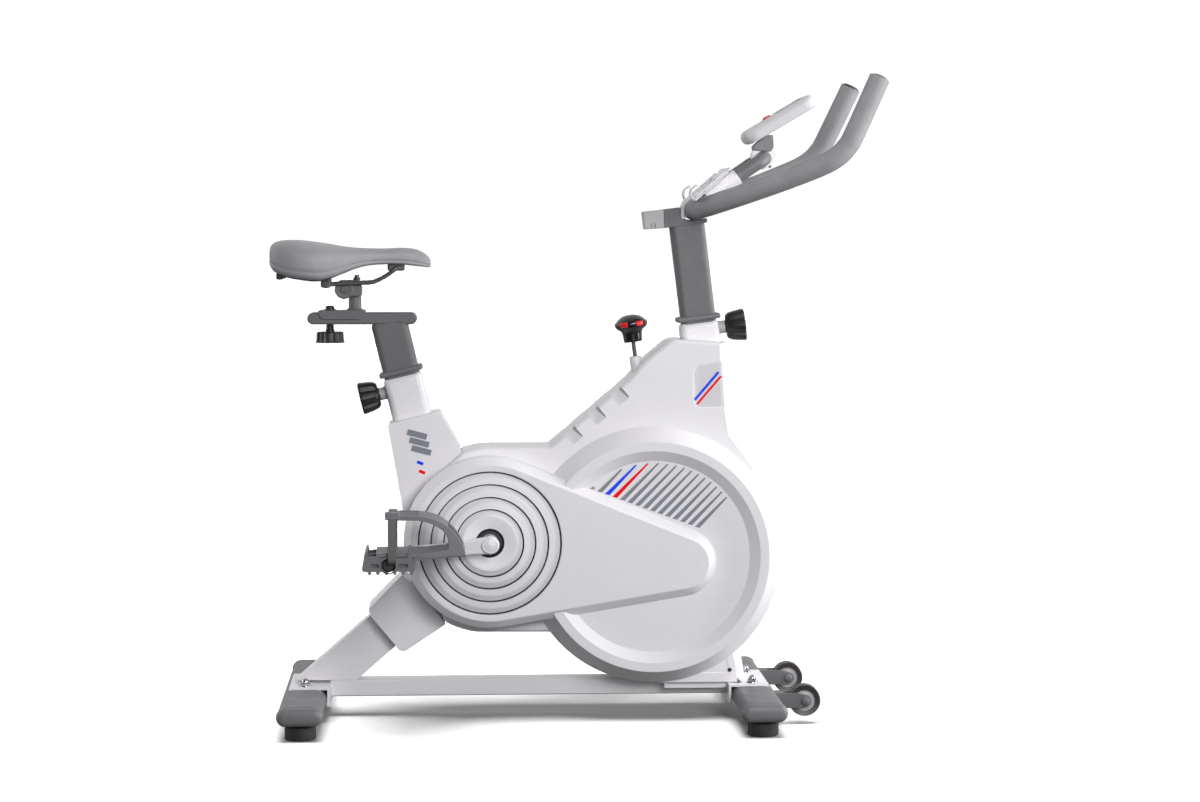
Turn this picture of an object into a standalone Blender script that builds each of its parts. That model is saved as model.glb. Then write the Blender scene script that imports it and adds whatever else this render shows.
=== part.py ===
"""Indoor exercise bike, built as an assembly of separate pieces.

X points forward (handlebar end), Y to the rider's left, Z up, in metres.
The floor is Z = 0 and the crank, flywheel and tubes lie about the plane Y = 0.
"""
import math

import bmesh
import bpy
from mathutils import Matrix, Vector

GAP = 0.0004
UP = Vector((0, 0, 1))

# main axes, as (x, z)
CRANK = (-0.141, 0.299)
WHEEL = (0.130, 0.274)
SEAT_TILT = math.radians(13.5)
HEAD_TILT = math.radians(7)
SEAT_LINE = (-0.2885, 0.585)
HEAD_LINE = (0.208, 0.670)
STRUT_TILT = math.radians(41)

# stabilisers
REAR_X, FRONT_X, BAR_Z = -0.446, 0.296, 0.040
BAR_HALF, CAP_IN, CAP_OUT = 0.246, 0.2464, 0.263
FOOT_Y = 0.225
BOLT_Y = 0.055

# shroud
SHELL_Y, WALL = 0.060, 0.003
HOUSE_R, FACE_R, HOUSE_Y = 0.2135, 0.190, 0.100
COVER_Y0, COVER_Y1 = 0.0605, 0.104
CRANK_Y, PEDAL_Y = 0.126, 0.2025

COLOURS = {
    "white": ((0.80, 0.79, 0.82), 0.35, 0.0),
    "grey": ((0.22, 0.215, 0.23), 0.45, 0.0),
    "pale": ((0.42, 0.41, 0.43), 0.4, 0.0),
    "black": ((0.02, 0.02, 0.022), 0.4, 0.0),
    "steel": ((0.55, 0.55, 0.56), 0.3, 1.0),
    "iron": ((0.12, 0.12, 0.13), 0.5, 0.8),
    "rubber": ((0.03, 0.03, 0.03), 0.8, 0.0),
    "felt": ((0.35, 0.30, 0.22), 0.95, 0.0),
    "red": ((0.75, 0.01, 0.02), 0.4, 0.0),
}


# ---------------------------------------------------------------- helpers

def material(obj, colour):
    rgb, rough, metal = COLOURS[colour]
    mat = bpy.data.materials.new(obj.name + "_finish")
    mat.use_nodes = True
    shader = mat.node_tree.nodes["Principled BSDF"]
    shader.inputs["Base Color"].default_value = (*rgb, 1)
    shader.inputs["Roughness"].default_value = rough
    shader.inputs["Metallic"].default_value = metal
    obj.data.materials.clear()
    obj.data.materials.append(mat)


def from_bmesh(name, bm):
    bmesh.ops.remove_doubles(bm, verts=bm.verts, dist=1e-6)
    bmesh.ops.recalc_face_normals(bm, faces=bm.faces)
    mesh = bpy.data.meshes.new(name)
    bm.to_mesh(mesh)
    bm.free()
    obj = bpy.data.objects.new(name, mesh)
    bpy.context.scene.collection.objects.link(obj)
    return obj


def box(name, x, y, z, bevel=0.0, segments=2):
    """A block between the given (low, high) pairs."""
    bm = bmesh.new()
    size = Vector((x[1] - x[0], y[1] - y[0], z[1] - z[0]))
    mid = Vector(((x[0] + x[1]) / 2, (y[0] + y[1]) / 2, (z[0] + z[1]) / 2))
    bmesh.ops.create_cube(bm, size=1, matrix=Matrix.Translation(mid) @ Matrix.Diagonal((*size, 1)))
    if bevel:
        bmesh.ops.bevel(bm, geom=bm.edges[:], offset=bevel, segments=segments, affect="EDGES")
    return from_bmesh(name, bm)


def plate(name, outline, y0, y1, bevel=0.0):
    """A side-view outline of (x, z) points, extruded from y0 to y1."""
    bm = bmesh.new()
    face = bm.faces.new([bm.verts.new((x, y0, z)) for x, z in outline])
    grown = bmesh.ops.extrude_face_region(bm, geom=[face])
    moved = [g for g in grown["geom"] if isinstance(g, bmesh.types.BMVert)]
    bmesh.ops.translate(bm, verts=moved, vec=(0, y1 - y0, 0))
    if bevel:
        rims = [e for e in bm.edges if abs(e.verts[0].co.y - e.verts[1].co.y) < 1e-7]
        bmesh.ops.bevel(bm, geom=rims, offset=bevel, segments=2, affect="EDGES")
    return from_bmesh(name, bm)


def lathe(name, profile, place, axis, steps=32):
    """Revolve (radius, height) points about an axis through `place`."""
    turn = axis.normalized().to_track_quat("Z", "Y").to_matrix().to_4x4()
    frame = Matrix.Translation(Vector(place)) @ turn
    bm = bmesh.new()
    rings = []
    for radius, height in profile:
        if radius < 1e-6:
            rings.append([bm.verts.new(frame @ Vector((0, 0, height)))])
            continue
        angles = [2 * math.pi * i / steps for i in range(steps)]
        rings.append([bm.verts.new(frame @ Vector((radius * math.cos(a), radius * math.sin(a), height)))
                      for a in angles])
    closed = profile[0][0] > 1e-6 and profile[-1][0] > 1e-6
    pairs = list(zip(rings, rings[1:])) + ([(rings[-1], rings[0])] if closed else [])
    for a, b in pairs:
        for i in range(steps):
            j = (i + 1) % steps
            corners = [a[i % len(a)], a[j % len(a)], b[j % len(b)], b[i % len(b)]]
            corners = list(dict.fromkeys(corners))
            if len(corners) > 2:
                bm.faces.new(corners)
    return from_bmesh(name, bm)


def rod(name, start, end, radius, steps=24):
    start, end = Vector(start), Vector(end)
    length = (end - start).length
    return lathe(name, [(0, 0), (radius, 0), (radius, length), (0, length)], start, end - start, steps)


def pipe(name, points, radius, resolution=2, closed=False):
    """A round bar swept along points."""
    curve = bpy.data.curves.new(name, "CURVE")
    curve.dimensions = "3D"
    curve.bevel_depth = radius
    curve.bevel_resolution = resolution
    curve.use_fill_caps = True
    spline = curve.splines.new("POLY")
    spline.points.add(len(points) - 1)
    for point, co in zip(spline.points, points):
        point.co = (*co, 1)
    spline.use_cyclic_u = closed
    temp = bpy.data.objects.new(name + "_path", curve)
    bpy.context.scene.collection.objects.link(temp)
    mesh = bpy.data.meshes.new_from_object(temp.evaluated_get(bpy.context.evaluated_depsgraph_get()))
    bm = bmesh.new()
    bm.from_mesh(mesh)
    bpy.data.objects.remove(temp)
    return from_bmesh(name, bm)


def combine(target, others, operation="UNION"):
    for other in others:
        mod = target.modifiers.new("join", "BOOLEAN")
        mod.object = other
        mod.operation = operation
        mod.solver = "EXACT"
        bpy.context.view_layer.update()
        mesh = bpy.data.meshes.new_from_object(
            target.evaluated_get(bpy.context.evaluated_depsgraph_get()))
        target.modifiers.remove(mod)
        target.data = mesh
        bpy.data.objects.remove(other)
    bm = bmesh.new()
    bm.from_mesh(target.data)
    bmesh.ops.remove_doubles(bm, verts=bm.verts, dist=2e-6)
    bmesh.ops.dissolve_degenerate(bm, edges=bm.edges, dist=1e-6)
    bm.to_mesh(target.data)
    bm.free()
    return target


def cut(target, others):
    return combine(target, others, "DIFFERENCE")


def keep(obj, colour, collection, pivot=None, parent=None):
    """Put a finished piece in the assembly, with its origin on its joint."""
    if pivot is not None:
        obj.data.transform(Matrix.Translation(-Vector(pivot)))
        obj.location = pivot
    material(obj, colour)
    for old in list(obj.users_collection):
        old.objects.unlink(obj)
    collection.objects.link(obj)
    if parent is not None:
        obj.parent = parent
        obj.matrix_parent_inverse = parent.matrix_world.inverted()
    return obj


def arc(centre, radius, start, end, steps):
    """Side-view points on a circle, angles in degrees."""
    out = []
    for i in range(steps + 1):
        a = math.radians(start + (end - start) * i / steps)
        out.append((centre[0] + radius * math.cos(a), centre[1] + radius * math.sin(a)))
    return out


def leaning(tilt):
    """Unit vector up a tube that leans rearward."""
    return Vector((-math.sin(tilt), 0, math.cos(tilt)))


def on_line(line, tilt, height):
    """Point of a leaning tube's centre line at a height above the floor."""
    x0, z0 = line
    return Vector((x0 - (height - z0) * math.tan(tilt), 0, height))


def bar(name, line, tilt, z0, z1, depth, width, bevel=0.0, segments=2):
    """A leaning rectangular bar with square ends, between two heights."""
    a, b = on_line(line, tilt, z0), on_line(line, tilt, z1)
    length = (b - a).length
    obj = box(name, (-depth / 2, depth / 2), (-width / 2, width / 2), (0, length), bevel, segments)
    obj.data.transform(Matrix.Translation(a) @ Matrix.Rotation(-tilt, 4, "Y"))
    return obj


def hollow(name, line, tilt, z0, z1, depth, width, wall, bevel=0.0):
    """A leaning rectangular tube, open at both ends."""
    outer = bar(name, line, tilt, z0, z1, depth, width)
    if bevel:
        bm = bmesh.new()
        bm.from_mesh(outer.data)
        up = leaning(tilt)
        long_edges = [e for e in bm.edges
                      if abs((e.verts[0].co - e.verts[1].co).normalized().dot(up)) > 0.99]
        bmesh.ops.bevel(bm, geom=long_edges, offset=bevel, segments=2, affect="EDGES")
        bm.to_mesh(outer.data)
        bm.free()
    inner = bar(name + "_bore", line, tilt, z0 - 0.02, z1 + 0.02, depth - 2 * wall, width - 2 * wall)
    return cut(outer, [inner])


# ---------------------------------------------------------------- frame

def stabiliser_outline(centre_x, half_x, half_z):
    """Flat oval section of a floor bar."""
    right = arc((centre_x + half_x - half_z, BAR_Z), half_z, -90, 90, 6)
    left = arc((centre_x - half_x + half_z, BAR_Z), half_z, 90, 270, 6)
    return right + left


def add_floor_rail(coll):
    rail = box("floor_rail", (-0.4065, 0.2585), (-0.0225, 0.0225), (0.035, 0.0625), 0.002, 1)
    parts = []
    for x, side in ((REAR_X, 1), (FRONT_X, -1)):
        lip = x + side * 0.0385
        lo, hi = sorted((x - side * 0.026, lip))
        parts.append(box("deck", (lo, hi), (-0.080, 0.080), (0.0550, 0.0580)))
        lo, hi = sorted((lip - side * 0.0015, lip + side * 0.0025))
        parts.append(box("lip", (lo, hi), (-0.080, 0.080), (0.0280, 0.0580)))
    parts.append(box("cross", (0.150, 0.2575), (-0.0496, 0.0496), (0.0490, 0.0620)))
    combine(rail, parts)
    holes = [rod("hole", (x, y, 0.05), (x, y, 0.065), 0.0046, 16)
             for x in (REAR_X, FRONT_X) for y in (-BOLT_Y, BOLT_Y)]
    keep(cut(rail, holes), "white", coll)


def add_stabilisers(coll):
    for name, x in (("rear", REAR_X), ("front", FRONT_X)):
        bar_obj = plate(name + "_stabiliser", stabiliser_outline(x, 0.0370, 0.0145),
                        -BAR_HALF, BAR_HALF)
        holes = [rod("hole", (x, y, 0.02), (x, y, 0.06), 0.0046, 16) for y in (-BOLT_Y, BOLT_Y)]
        holes += [rod("foot_hole", (x, y, 0.02), (x, y, 0.036), 0.0046, 16)
                  for y in (-FOOT_Y, FOOT_Y)]
        if name == "front":
            for y in (-0.12, 0.12):
                combine(bar_obj, wheel_bracket(x, y))
        keep(cut(bar_obj, holes), "grey", coll)
        for side, word in ((-1, "right"), (1, "left")):
            near, far = side * CAP_IN, side * (CAP_OUT - 0.006)
            cap = plate(name + "_cap_" + word, stabiliser_outline(x, 0.0380, 0.0152), near, far)
            tip = plate("tip", stabiliser_outline(x, 0.0310, 0.0105), side * 0.25, side * CAP_OUT)
            keep(combine(cap, [tip]), "grey", coll)
            add_bolt(coll, name + "_bolt_" + word, x, side * BOLT_Y)
            add_foot(coll, name + "_foot_" + word, x, side * FOOT_Y)


def wheel_bracket(x, y):
    """Two ears and a web that carry a transport wheel ahead of the bar."""
    ears = [plate("ear", [(x + 0.030, 0.030), (x + 0.072, 0.026), (x + 0.090, 0.032),
                          (x + 0.090, 0.046), (x + 0.072, 0.053), (x + 0.030, 0.053)],
                  y + s * 0.0125, y + s * 0.0155) for s in (-1, 1)]
    web = box("web", (x + 0.030, x + 0.045), (y - 0.014, y + 0.014), (0.031, 0.052))
    pin = rod("pin", (x + 0.0795, y - 0.0185, 0.0395), (x + 0.0795, y + 0.0185, 0.0395), 0.004, 16)
    return ears + [web, pin]


def add_bolt(coll, name, x, y):
    shape = [(0, 0.0285), (0.0042, 0.0285), (0.0042, 0.0584), (0.0085, 0.0584), (0.0085, 0.0600),
             (0.0068, 0.0600), (0.0068, 0.0660), (0.0045, 0.0700), (0, 0.0712)]
    keep(lathe(name, shape, (x, y, 0), UP, 10), "steel", coll)


def add_foot(coll, name, x, y):
    shape = [(0, 0), (0.0185, 0), (0.0205, 0.002), (0.0205, 0.0125), (0.019, 0.014),
             (0.008, 0.014), (0.008, 0.0240), (0.0042, 0.0240), (0.0042, 0.0345), (0, 0.0345)]
    keep(lathe(name, shape, (x, y, 0), UP, 16), "rubber", coll, (x, y, 0))


def add_transport_wheels(coll):
    x, z = FRONT_X + 0.0795, 0.0395
    for y, word in ((-0.12, "right"), (0.12, "left")):
        shape = [(0.0046, -0.011), (0.011, -0.011), (0.013, -0.0095), (0.0235, -0.0095),
                 (0.0260, -0.007), (0.0260, 0.007), (0.0235, 0.0095), (0.013, 0.0095),
                 (0.011, 0.011), (0.0046, 0.011)]
        wheel = lathe("transport_wheel_" + word, shape, (x, y, z), Vector((0, 1, 0)), 20)
        keep(wheel, "black", coll, (x, y, z))


def add_frame_tubes(coll):
    # rear strut: runs from the floor rail to the crank shell
    along = Vector((math.cos(STRUT_TILT), 0, math.sin(STRUT_TILT)))
    off = Vector((-along.z, 0, along.x)) * 0.033
    top = Vector((CRANK[0], 0, CRANK[1])) - along * 0.0245
    foot = Vector((-0.3025, 0, 0.158)) - along * 0.25
    outline = [(p.x, p.z) for p in (foot - off, top - off, top + off, foot + off)]
    strut = plate("rear_strut", outline, -0.0225, 0.0225)
    cut(strut, [box("under", (-0.7, -0.404), (-0.1, 0.1), (-0.3, 0.0584)),
                box("under", (-0.7, 0.1), (-0.1, 0.1), (-0.3, 0.0629)),
                rod("shell_space", (CRANK[0], -0.1, CRANK[1]), (CRANK[0], 0.1, CRANK[1]), 0.0264, 32)])
    keep(strut, "white", coll)

    shell = lathe("bottom_bracket", [(0.0090, -0.035), (0.0175, -0.035), (0.0175, -0.033), (0.026, -0.033),
                                     (0.026, 0.033), (0.0175, 0.033), (0.0175, 0.035), (0.0090, 0.035)],
                  (CRANK[0], 0, CRANK[1]), Vector((0, 1, 0)), 24)
    keep(shell, "white", coll)

    # seat tube: stands on the strut, with a boss for its knob
    seat = hollow("seat_tube", SEAT_LINE, SEAT_TILT, 0.25, 0.572, 0.065, 0.045, 0.002)
    slab = [(p.x, p.z) for p in (foot - off * 1.02, top - off * 1.02 + along * 0.1,
                                 top + off * 1.02 + along * 0.1, foot + off * 1.02)]
    cut(seat, [plate("strut_space", slab, -0.03, 0.03)])
    point, direction = seat_knob_axis()
    boss = rod("boss", point - direction * 0.001, point + direction * 0.011, 0.0105, 20)
    combine(seat, [boss])
    cut(seat, [rod("boss_hole", point - direction * 0.02, point + direction * 0.02, 0.0053, 16)])
    keep(seat, "white", coll)

    # main tube: over the flywheel from the crank shell to the head tube
    line = [(-0.118, 0.331), (-0.052, 0.424), (0.1715, 0.573), (0.1715, 0.530),
            (-0.022, 0.401), (-0.098, 0.300), (-0.1105, 0.303)]
    main = plate("main_tube", line, -0.0225, 0.0225)
    down, low = tension_axis()
    combine(main, [rod("sleeve", low + down * 0.080, low, 0.0100, 20)])
    cut(main, [rod("rod_hole", low + down * 0.2, low - down * 0.1, 0.0040, 16),
               rod("shell_space", (CRANK[0], -0.1, CRANK[1]), (CRANK[0], 0.1, CRANK[1]), 0.0264, 32)])
    keep(main, "white", coll)

    # head tube: a square socket with a cross block for the fork plates
    head = hollow("head_tube", HEAD_LINE, HEAD_TILT, 0.500, 0.660, 0.066, 0.045, 0.002)
    point, direction = head_knob_axis()
    boss = rod("boss", point - direction * 0.001, point + direction * 0.011, 0.0105, 20)
    combine(head, [boss])
    cut(head, [rod("boss_hole", point - direction * 0.02, point + direction * 0.02, 0.0053, 16)])
    keep(head, "white", coll)

    # fork: two plates either side of the flywheel and the block that joins them
    shape = [(0.142, 0.0622), (0.2546, 0.0622), (0.276, 0.0622), (0.262, 0.120), (0.170, 0.250),
             (0.168, 0.300), (0.252, 0.470), (0.252, 0.540), (0.200, 0.540), (0.186, 0.500),
             (0.098, 0.310), (0.096, 0.250), (0.129, 0.064)]
    fork = plate("flywheel_fork", shape, -0.056, -0.050)
    combine(fork, [plate("left", shape, 0.050, 0.056),
                   box("block", (0.200, 0.250), (-0.0510, 0.0510), (0.480, 0.4955))])
    cut(fork, [rod("axle_hole", (WHEEL[0], -0.1, WHEEL[1]), (WHEEL[0], 0.1, WHEEL[1]), 0.0090, 20)])
    keep(fork, "white", coll)


def seat_knob_axis():
    direction = Vector((-math.cos(SEAT_TILT), 0, -math.sin(SEAT_TILT)))
    return on_line(SEAT_LINE, SEAT_TILT, 0.5485) + direction * 0.0325, direction


def head_knob_axis():
    direction = Vector((math.cos(HEAD_TILT), 0, math.sin(HEAD_TILT)))
    return on_line(HEAD_LINE, HEAD_TILT, 0.6445) + direction * 0.033, direction


def tension_axis():
    """Direction down the resistance rod and the point where it leaves its sleeve."""
    tilt = math.radians(7.5)
    return Vector((math.sin(tilt), 0, -math.cos(tilt))), Vector((0.1040, 0, 0.600))


def add_collars(coll):
    for name, line, tilt, z0, depth in (("seat_tube_collar", SEAT_LINE, SEAT_TILT, 0.5728, 0.0735),
                                        ("head_tube_collar", HEAD_LINE, HEAD_TILT, 0.6608, 0.0735)):
        collar = bar(name, line, tilt, z0, z0 + 0.0085, depth, 0.053, 0.0025, 1)
        inner = 0.0605 if "seat" in name else 0.0585
        hole = bar("hole", line, tilt, z0 - 0.02, z0 + 0.03, inner, 0.0406)
        keep(cut(collar, [hole]), "grey", coll)


# ---------------------------------------------------------------- shells

def shell_outline(shrink=0.0):
    """Side outline of the main shell, optionally shrunk by a wall thickness."""
    rear = arc(CRANK, 0.154, 262, 242, 3) + arc(CRANK, 0.139, 232, 128, 10)
    rest = [(-0.186, 0.446), (-0.156, 0.453), (-0.041, 0.453), (0.092, 0.566), (0.116, 0.594),
            (0.161, 0.631), (0.258, 0.624), (0.260, 0.598), (0.266, 0.529), (0.273, 0.482),
            (0.299, 0.449), (0.313, 0.429), (0.320, 0.362), (0.320, 0.240), (0.060, 0.145)]
    points = rear + rest
    if not shrink:
        return points
    out = []
    count = len(points)
    for i, (x, z) in enumerate(points):
        a, b = Vector(points[i - 1]), Vector(points[(i + 1) % count])
        here = Vector((x, z))
        n1 = Vector((here.y - a.y, a.x - here.x)).normalized()
        n2 = Vector((b.y - here.y, here.x - b.x)).normalized()
        n = (n1 + n2).normalized()
        step = n * (shrink / max(0.5, n.dot(n1)))
        out.append((x + step.x, z + step.y))
    return out


def housing(name, shrink, y_out, y_in):
    """One side of the round flywheel housing, as a solid."""
    side = math.copysign(1, y_out)
    depth = abs(y_out)
    shape = [(0, abs(y_in)), (HOUSE_R - shrink, abs(y_in)), (HOUSE_R - shrink, 0.022),
             (FACE_R + 0.004 - shrink, depth - 0.006 - shrink), (FACE_R - 0.001 - shrink, depth - shrink),
             (0.175 + shrink * 0.5, depth - shrink), (0.158 + shrink * 0.3, depth - 0.012 - shrink),
             (0, depth - 0.012 - shrink)]
    return lathe(name, shape, (WHEEL[0], 0, WHEEL[1]), Vector((0, side, 0)), 40)


def teardrop(lobe, nose):
    """Outline round the crank lobe and the smaller flywheel end of the belt cover."""
    a, b = Vector(CRANK), Vector((0.178, 0.264))
    gap = b - a
    tilt = math.degrees(math.atan2(gap.y, gap.x))
    lean = math.degrees(math.acos((lobe - nose) / gap.length))
    return (arc(a, lobe, tilt + lean, tilt + 360 - lean, 24)
            + arc(b, nose, tilt - lean, tilt + lean, 10))


def add_shells(coll):
    down, low = tension_axis()
    for side, word in ((-1, "right"), (1, "left")):
        y0, y1 = sorted((side * GAP / 2, side * SHELL_Y))
        body = plate("shroud_" + word, shell_outline(), -SHELL_Y, SHELL_Y, 0.008)
        cut(body, [box("other_half", (-1, 1), (-side * 0.2, side * GAP / 2), (0, 1))])
        combine(body, [housing("house", 0, side * HOUSE_Y, side * GAP / 2)])
        cut(body, [plate("hollow", shell_outline(WALL), -SHELL_Y + WALL, SHELL_Y - WALL)])
        cut(body, [housing("hollow", WALL, side * HOUSE_Y, 0)])
        gaps = [box("floor_gap", (-1, 1), (-0.2, 0.2), (-0.1, 0.0645)),
                box("plate_gap", (0.10, 0.30), (-0.0568, 0.0568), (0.0, 0.13)),
                bar("seat_gap", SEAT_LINE, SEAT_TILT, 0.2, 0.56, 0.068, 0.048),
                bar("head_gap", HEAD_LINE, HEAD_TILT, 0.52, 0.70, 0.068, 0.0475),
                rod("axle_gap", (CRANK[0], -0.2, CRANK[1]), (CRANK[0], 0.2, CRANK[1]), 0.030, 28),
                rod("sleeve_gap", low - down * 0.1, low + down * 0.07, 0.0106, 20)]
        along = Vector((math.cos(STRUT_TILT), 0, math.sin(STRUT_TILT)))
        off = Vector((-along.z, 0, along.x)) * 0.0345
        foot, top = Vector((-0.3025, 0, 0.158)) - along * 0.1, Vector((-0.20, 0, 0.247))
        slab = [(p.x, p.z) for p in (foot - off, top - off, top + off, foot + off)]
        gaps.append(plate("strut_gap", slab, -0.024, 0.024))
        if side < 0:
            gaps.append(plate("cover_gap", teardrop(0.1425, 0.0555), -0.2, -COVER_Y0 + 0.0001))
            gaps.append(plate("belt_gap", teardrop(0.108, 0.034), -0.2, -0.05))
        else:
            gaps.append(rod("disc_gap", (CRANK[0], COVER_Y0 - 0.0001, CRANK[1]),
                            (CRANK[0], 0.2, CRANK[1]), 0.1425, 36))
        keep(drop_loose(cut(body, gaps)), "white", coll)


def drop_loose(obj):
    """Keep only the largest connected piece of a shell after its gaps are cut."""
    bm = bmesh.new()
    bm.from_mesh(obj.data)
    seen, groups = set(), []
    for vert in bm.verts:
        if vert in seen:
            continue
        stack, group = [vert], []
        seen.add(vert)
        while stack:
            here = stack.pop()
            group.append(here)
            for edge in here.link_edges:
                other = edge.other_vert(here)
                if other not in seen:
                    seen.add(other)
                    stack.append(other)
        groups.append(group)
    groups.sort(key=len, reverse=True)
    for group in groups[1:]:
        bmesh.ops.delete(bm, geom=group, context="VERTS")
    bm.to_mesh(obj.data)
    bm.free()
    return obj


def ring_steps(depth):
    """Stepped rings pressed into a round cover, as (radius, height) from the rim in."""
    steps = []
    for radius in (0.1180, 0.0975, 0.0765, 0.0565):
        steps += [(radius, depth), (radius - 0.001, depth - 0.005), (radius - 0.014, depth - 0.001)]
    return steps + [(0.040, depth - 0.002), (0.0235, depth - 0.004)]


def add_covers(coll):
    inner = Vector((CRANK[0], 0, CRANK[1]))
    cover = plate("belt_cover", teardrop(0.1415, 0.0545), -COVER_Y1, -COVER_Y0)
    bm = bmesh.new()
    bm.from_mesh(cover.data)
    rim = [e for e in bm.edges if all(v.co.y < -COVER_Y1 + 1e-5 for v in e.verts)]
    bmesh.ops.bevel(bm, geom=rim, offset=0.0125, segments=1, affect="EDGES")
    bm.to_mesh(cover.data)
    bm.free()
    cut(cover, [plate("hollow", teardrop(0.1270, 0.0400), -COVER_Y1 + 0.0095, -COVER_Y0 + 0.01),
                lathe("rings", [(0, COVER_Y1 + 0.02), (0.118, COVER_Y1 + 0.02)]
                      + ring_steps(COVER_Y1) + [(0, COVER_Y1 - 0.004)],
                      (CRANK[0], 0, CRANK[1]), Vector((0, -1, 0)), 32),
                rod("hub_hole", inner - Vector((0, 0.2, 0)), inner, 0.0232, 28)])
    keep(cover, "white", coll)

    shape = [(0.1300, COVER_Y0), (0.1415, COVER_Y0), (0.1415, COVER_Y1 - 0.0125), (0.129, COVER_Y1)]
    shape += ring_steps(COVER_Y1) + [(0.0235, COVER_Y1 - 0.0095), (0.125, COVER_Y1 - 0.0095)]
    disc = lathe("crank_cover_left", shape, (CRANK[0], 0, CRANK[1]), Vector((0, 1, 0)), 32)
    keep(disc, "white", coll)

    # sleeves over the seat tube and the strut
    sleeve_shape = [(-0.3085, 0.491), (-0.222, 0.513), (-0.187, 0.447), (-0.2266, 0.4097),
                    (-0.2604, 0.3730), (-0.2782, 0.3312), (-0.2840, 0.3500)]
    sleeve = plate("seat_tube_cover", sleeve_shape, -0.046, 0.046, 0.006)
    cut(sleeve, [bar("tube", SEAT_LINE, SEAT_TILT, 0.2, 0.56, 0.0664, 0.0456),
                 rod("shell", inner - Vector((0, 0.2, 0)), inner + Vector((0, 0.2, 0)), 0.1425, 64)])
    keep(drop_loose(sleeve), "white", coll)
    strut_shape = [(-0.342, 0.184), (-0.2855, 0.2420), (-0.2500, 0.2080), (-0.2140, 0.1580),
                   (-0.282, 0.113), (-0.290, 0.1145), (-0.338, 0.172)]
    sleeve = plate("strut_cover", strut_shape, -0.046, 0.046, 0.006)
    along = Vector((math.cos(STRUT_TILT), 0, math.sin(STRUT_TILT)))
    off = Vector((-along.z, 0, along.x)) * 0.0336
    foot, top = Vector((-0.3025, 0, 0.158)) - along * 0.1, Vector((-0.16, 0, 0.282))
    slab = [(p.x, p.z) for p in (foot - off, top - off, top + off, foot + off)]
    cut(sleeve, [plate("strut", slab, -0.0229, 0.0229),
                 rod("shell", inner - Vector((0, 0.2, 0)), inner + Vector((0, 0.2, 0)), 0.1546, 64)])
    keep(drop_loose(sleeve), "white", coll)


# ---------------------------------------------------------------- drive

def side_lathe(name, shape, centre, side=-1, steps=28):
    """Revolve (radius, distance out from Y = 0) about a side-to-side axis."""
    return lathe(name, shape, (centre[0], 0, centre[1]), Vector((0, side, 0)), steps)


def add_drive(coll):
    pivot = (CRANK[0], 0, CRANK[1])
    pulley = [(0, -0.1300), (0.0085, -0.1300), (0.0085, 0.066), (0.020, 0.066), (0.020, 0.0745),
              (0.088, 0.0745), (0.088, 0.0690), (0.1000, 0.0690), (0.0980, 0.0705), (0.0980, 0.0865),
              (0.1000, 0.0880), (0.088, 0.0880), (0.088, 0.0800), (0.020, 0.0800), (0.020, 0.088),
              (0.0085, 0.088), (0.0085, 0.1300), (0, 0.1300)]
    keep(side_lathe("crank_axle", pulley, CRANK), "black", coll, pivot)

    wheel = [(0, -0.0600), (0.0085, -0.0600), (0.0085, -0.0300), (0.024, -0.0300), (0.030, -0.006),
             (0.135, -0.004), (0.142, -0.0125), (0.165, -0.0125), (0.165, 0.0125), (0.142, 0.0125),
             (0.135, 0.004), (0.030, 0.006), (0.024, 0.0300), (0.0085, 0.0300), (0.0085, 0.0665),
             (0.0260, 0.0665), (0.0245, 0.0705), (0.0245, 0.0865), (0.0260, 0.0885), (0.0085, 0.0885),
             (0.0085, 0.0905), (0, 0.0905)]
    keep(side_lathe("flywheel", wheel, WHEEL), "iron", coll, (WHEEL[0], 0, WHEEL[1]))
    belt = plate("drive_belt", belt_loop(0.1007), -0.0855, -0.0715)
    cut(belt, [plate("inside", belt_loop(0.0984), -0.1, -0.05)])
    keep(belt, "rubber", coll)

    for side, word in ((-1, "right"), (1, "left")):
        add_crank(coll, side, word)


def belt_loop(big):
    a, b = Vector(CRANK), Vector(WHEEL)
    small = big - 0.0735
    gap = b - a
    tilt = math.degrees(math.atan2(gap.y, gap.x))
    lean = math.degrees(math.acos((big - small) / gap.length))
    return (arc(a, big, tilt + lean, tilt + 360 - lean, 28)
            + arc(b, small, tilt - lean, tilt + lean, 12))


def pedal_centre(side):
    """The right pedal points rearward and the left one forward."""
    return (CRANK[0] - 0.163 * (-side), CRANK[1] - 0.0175 * (-side))


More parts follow.
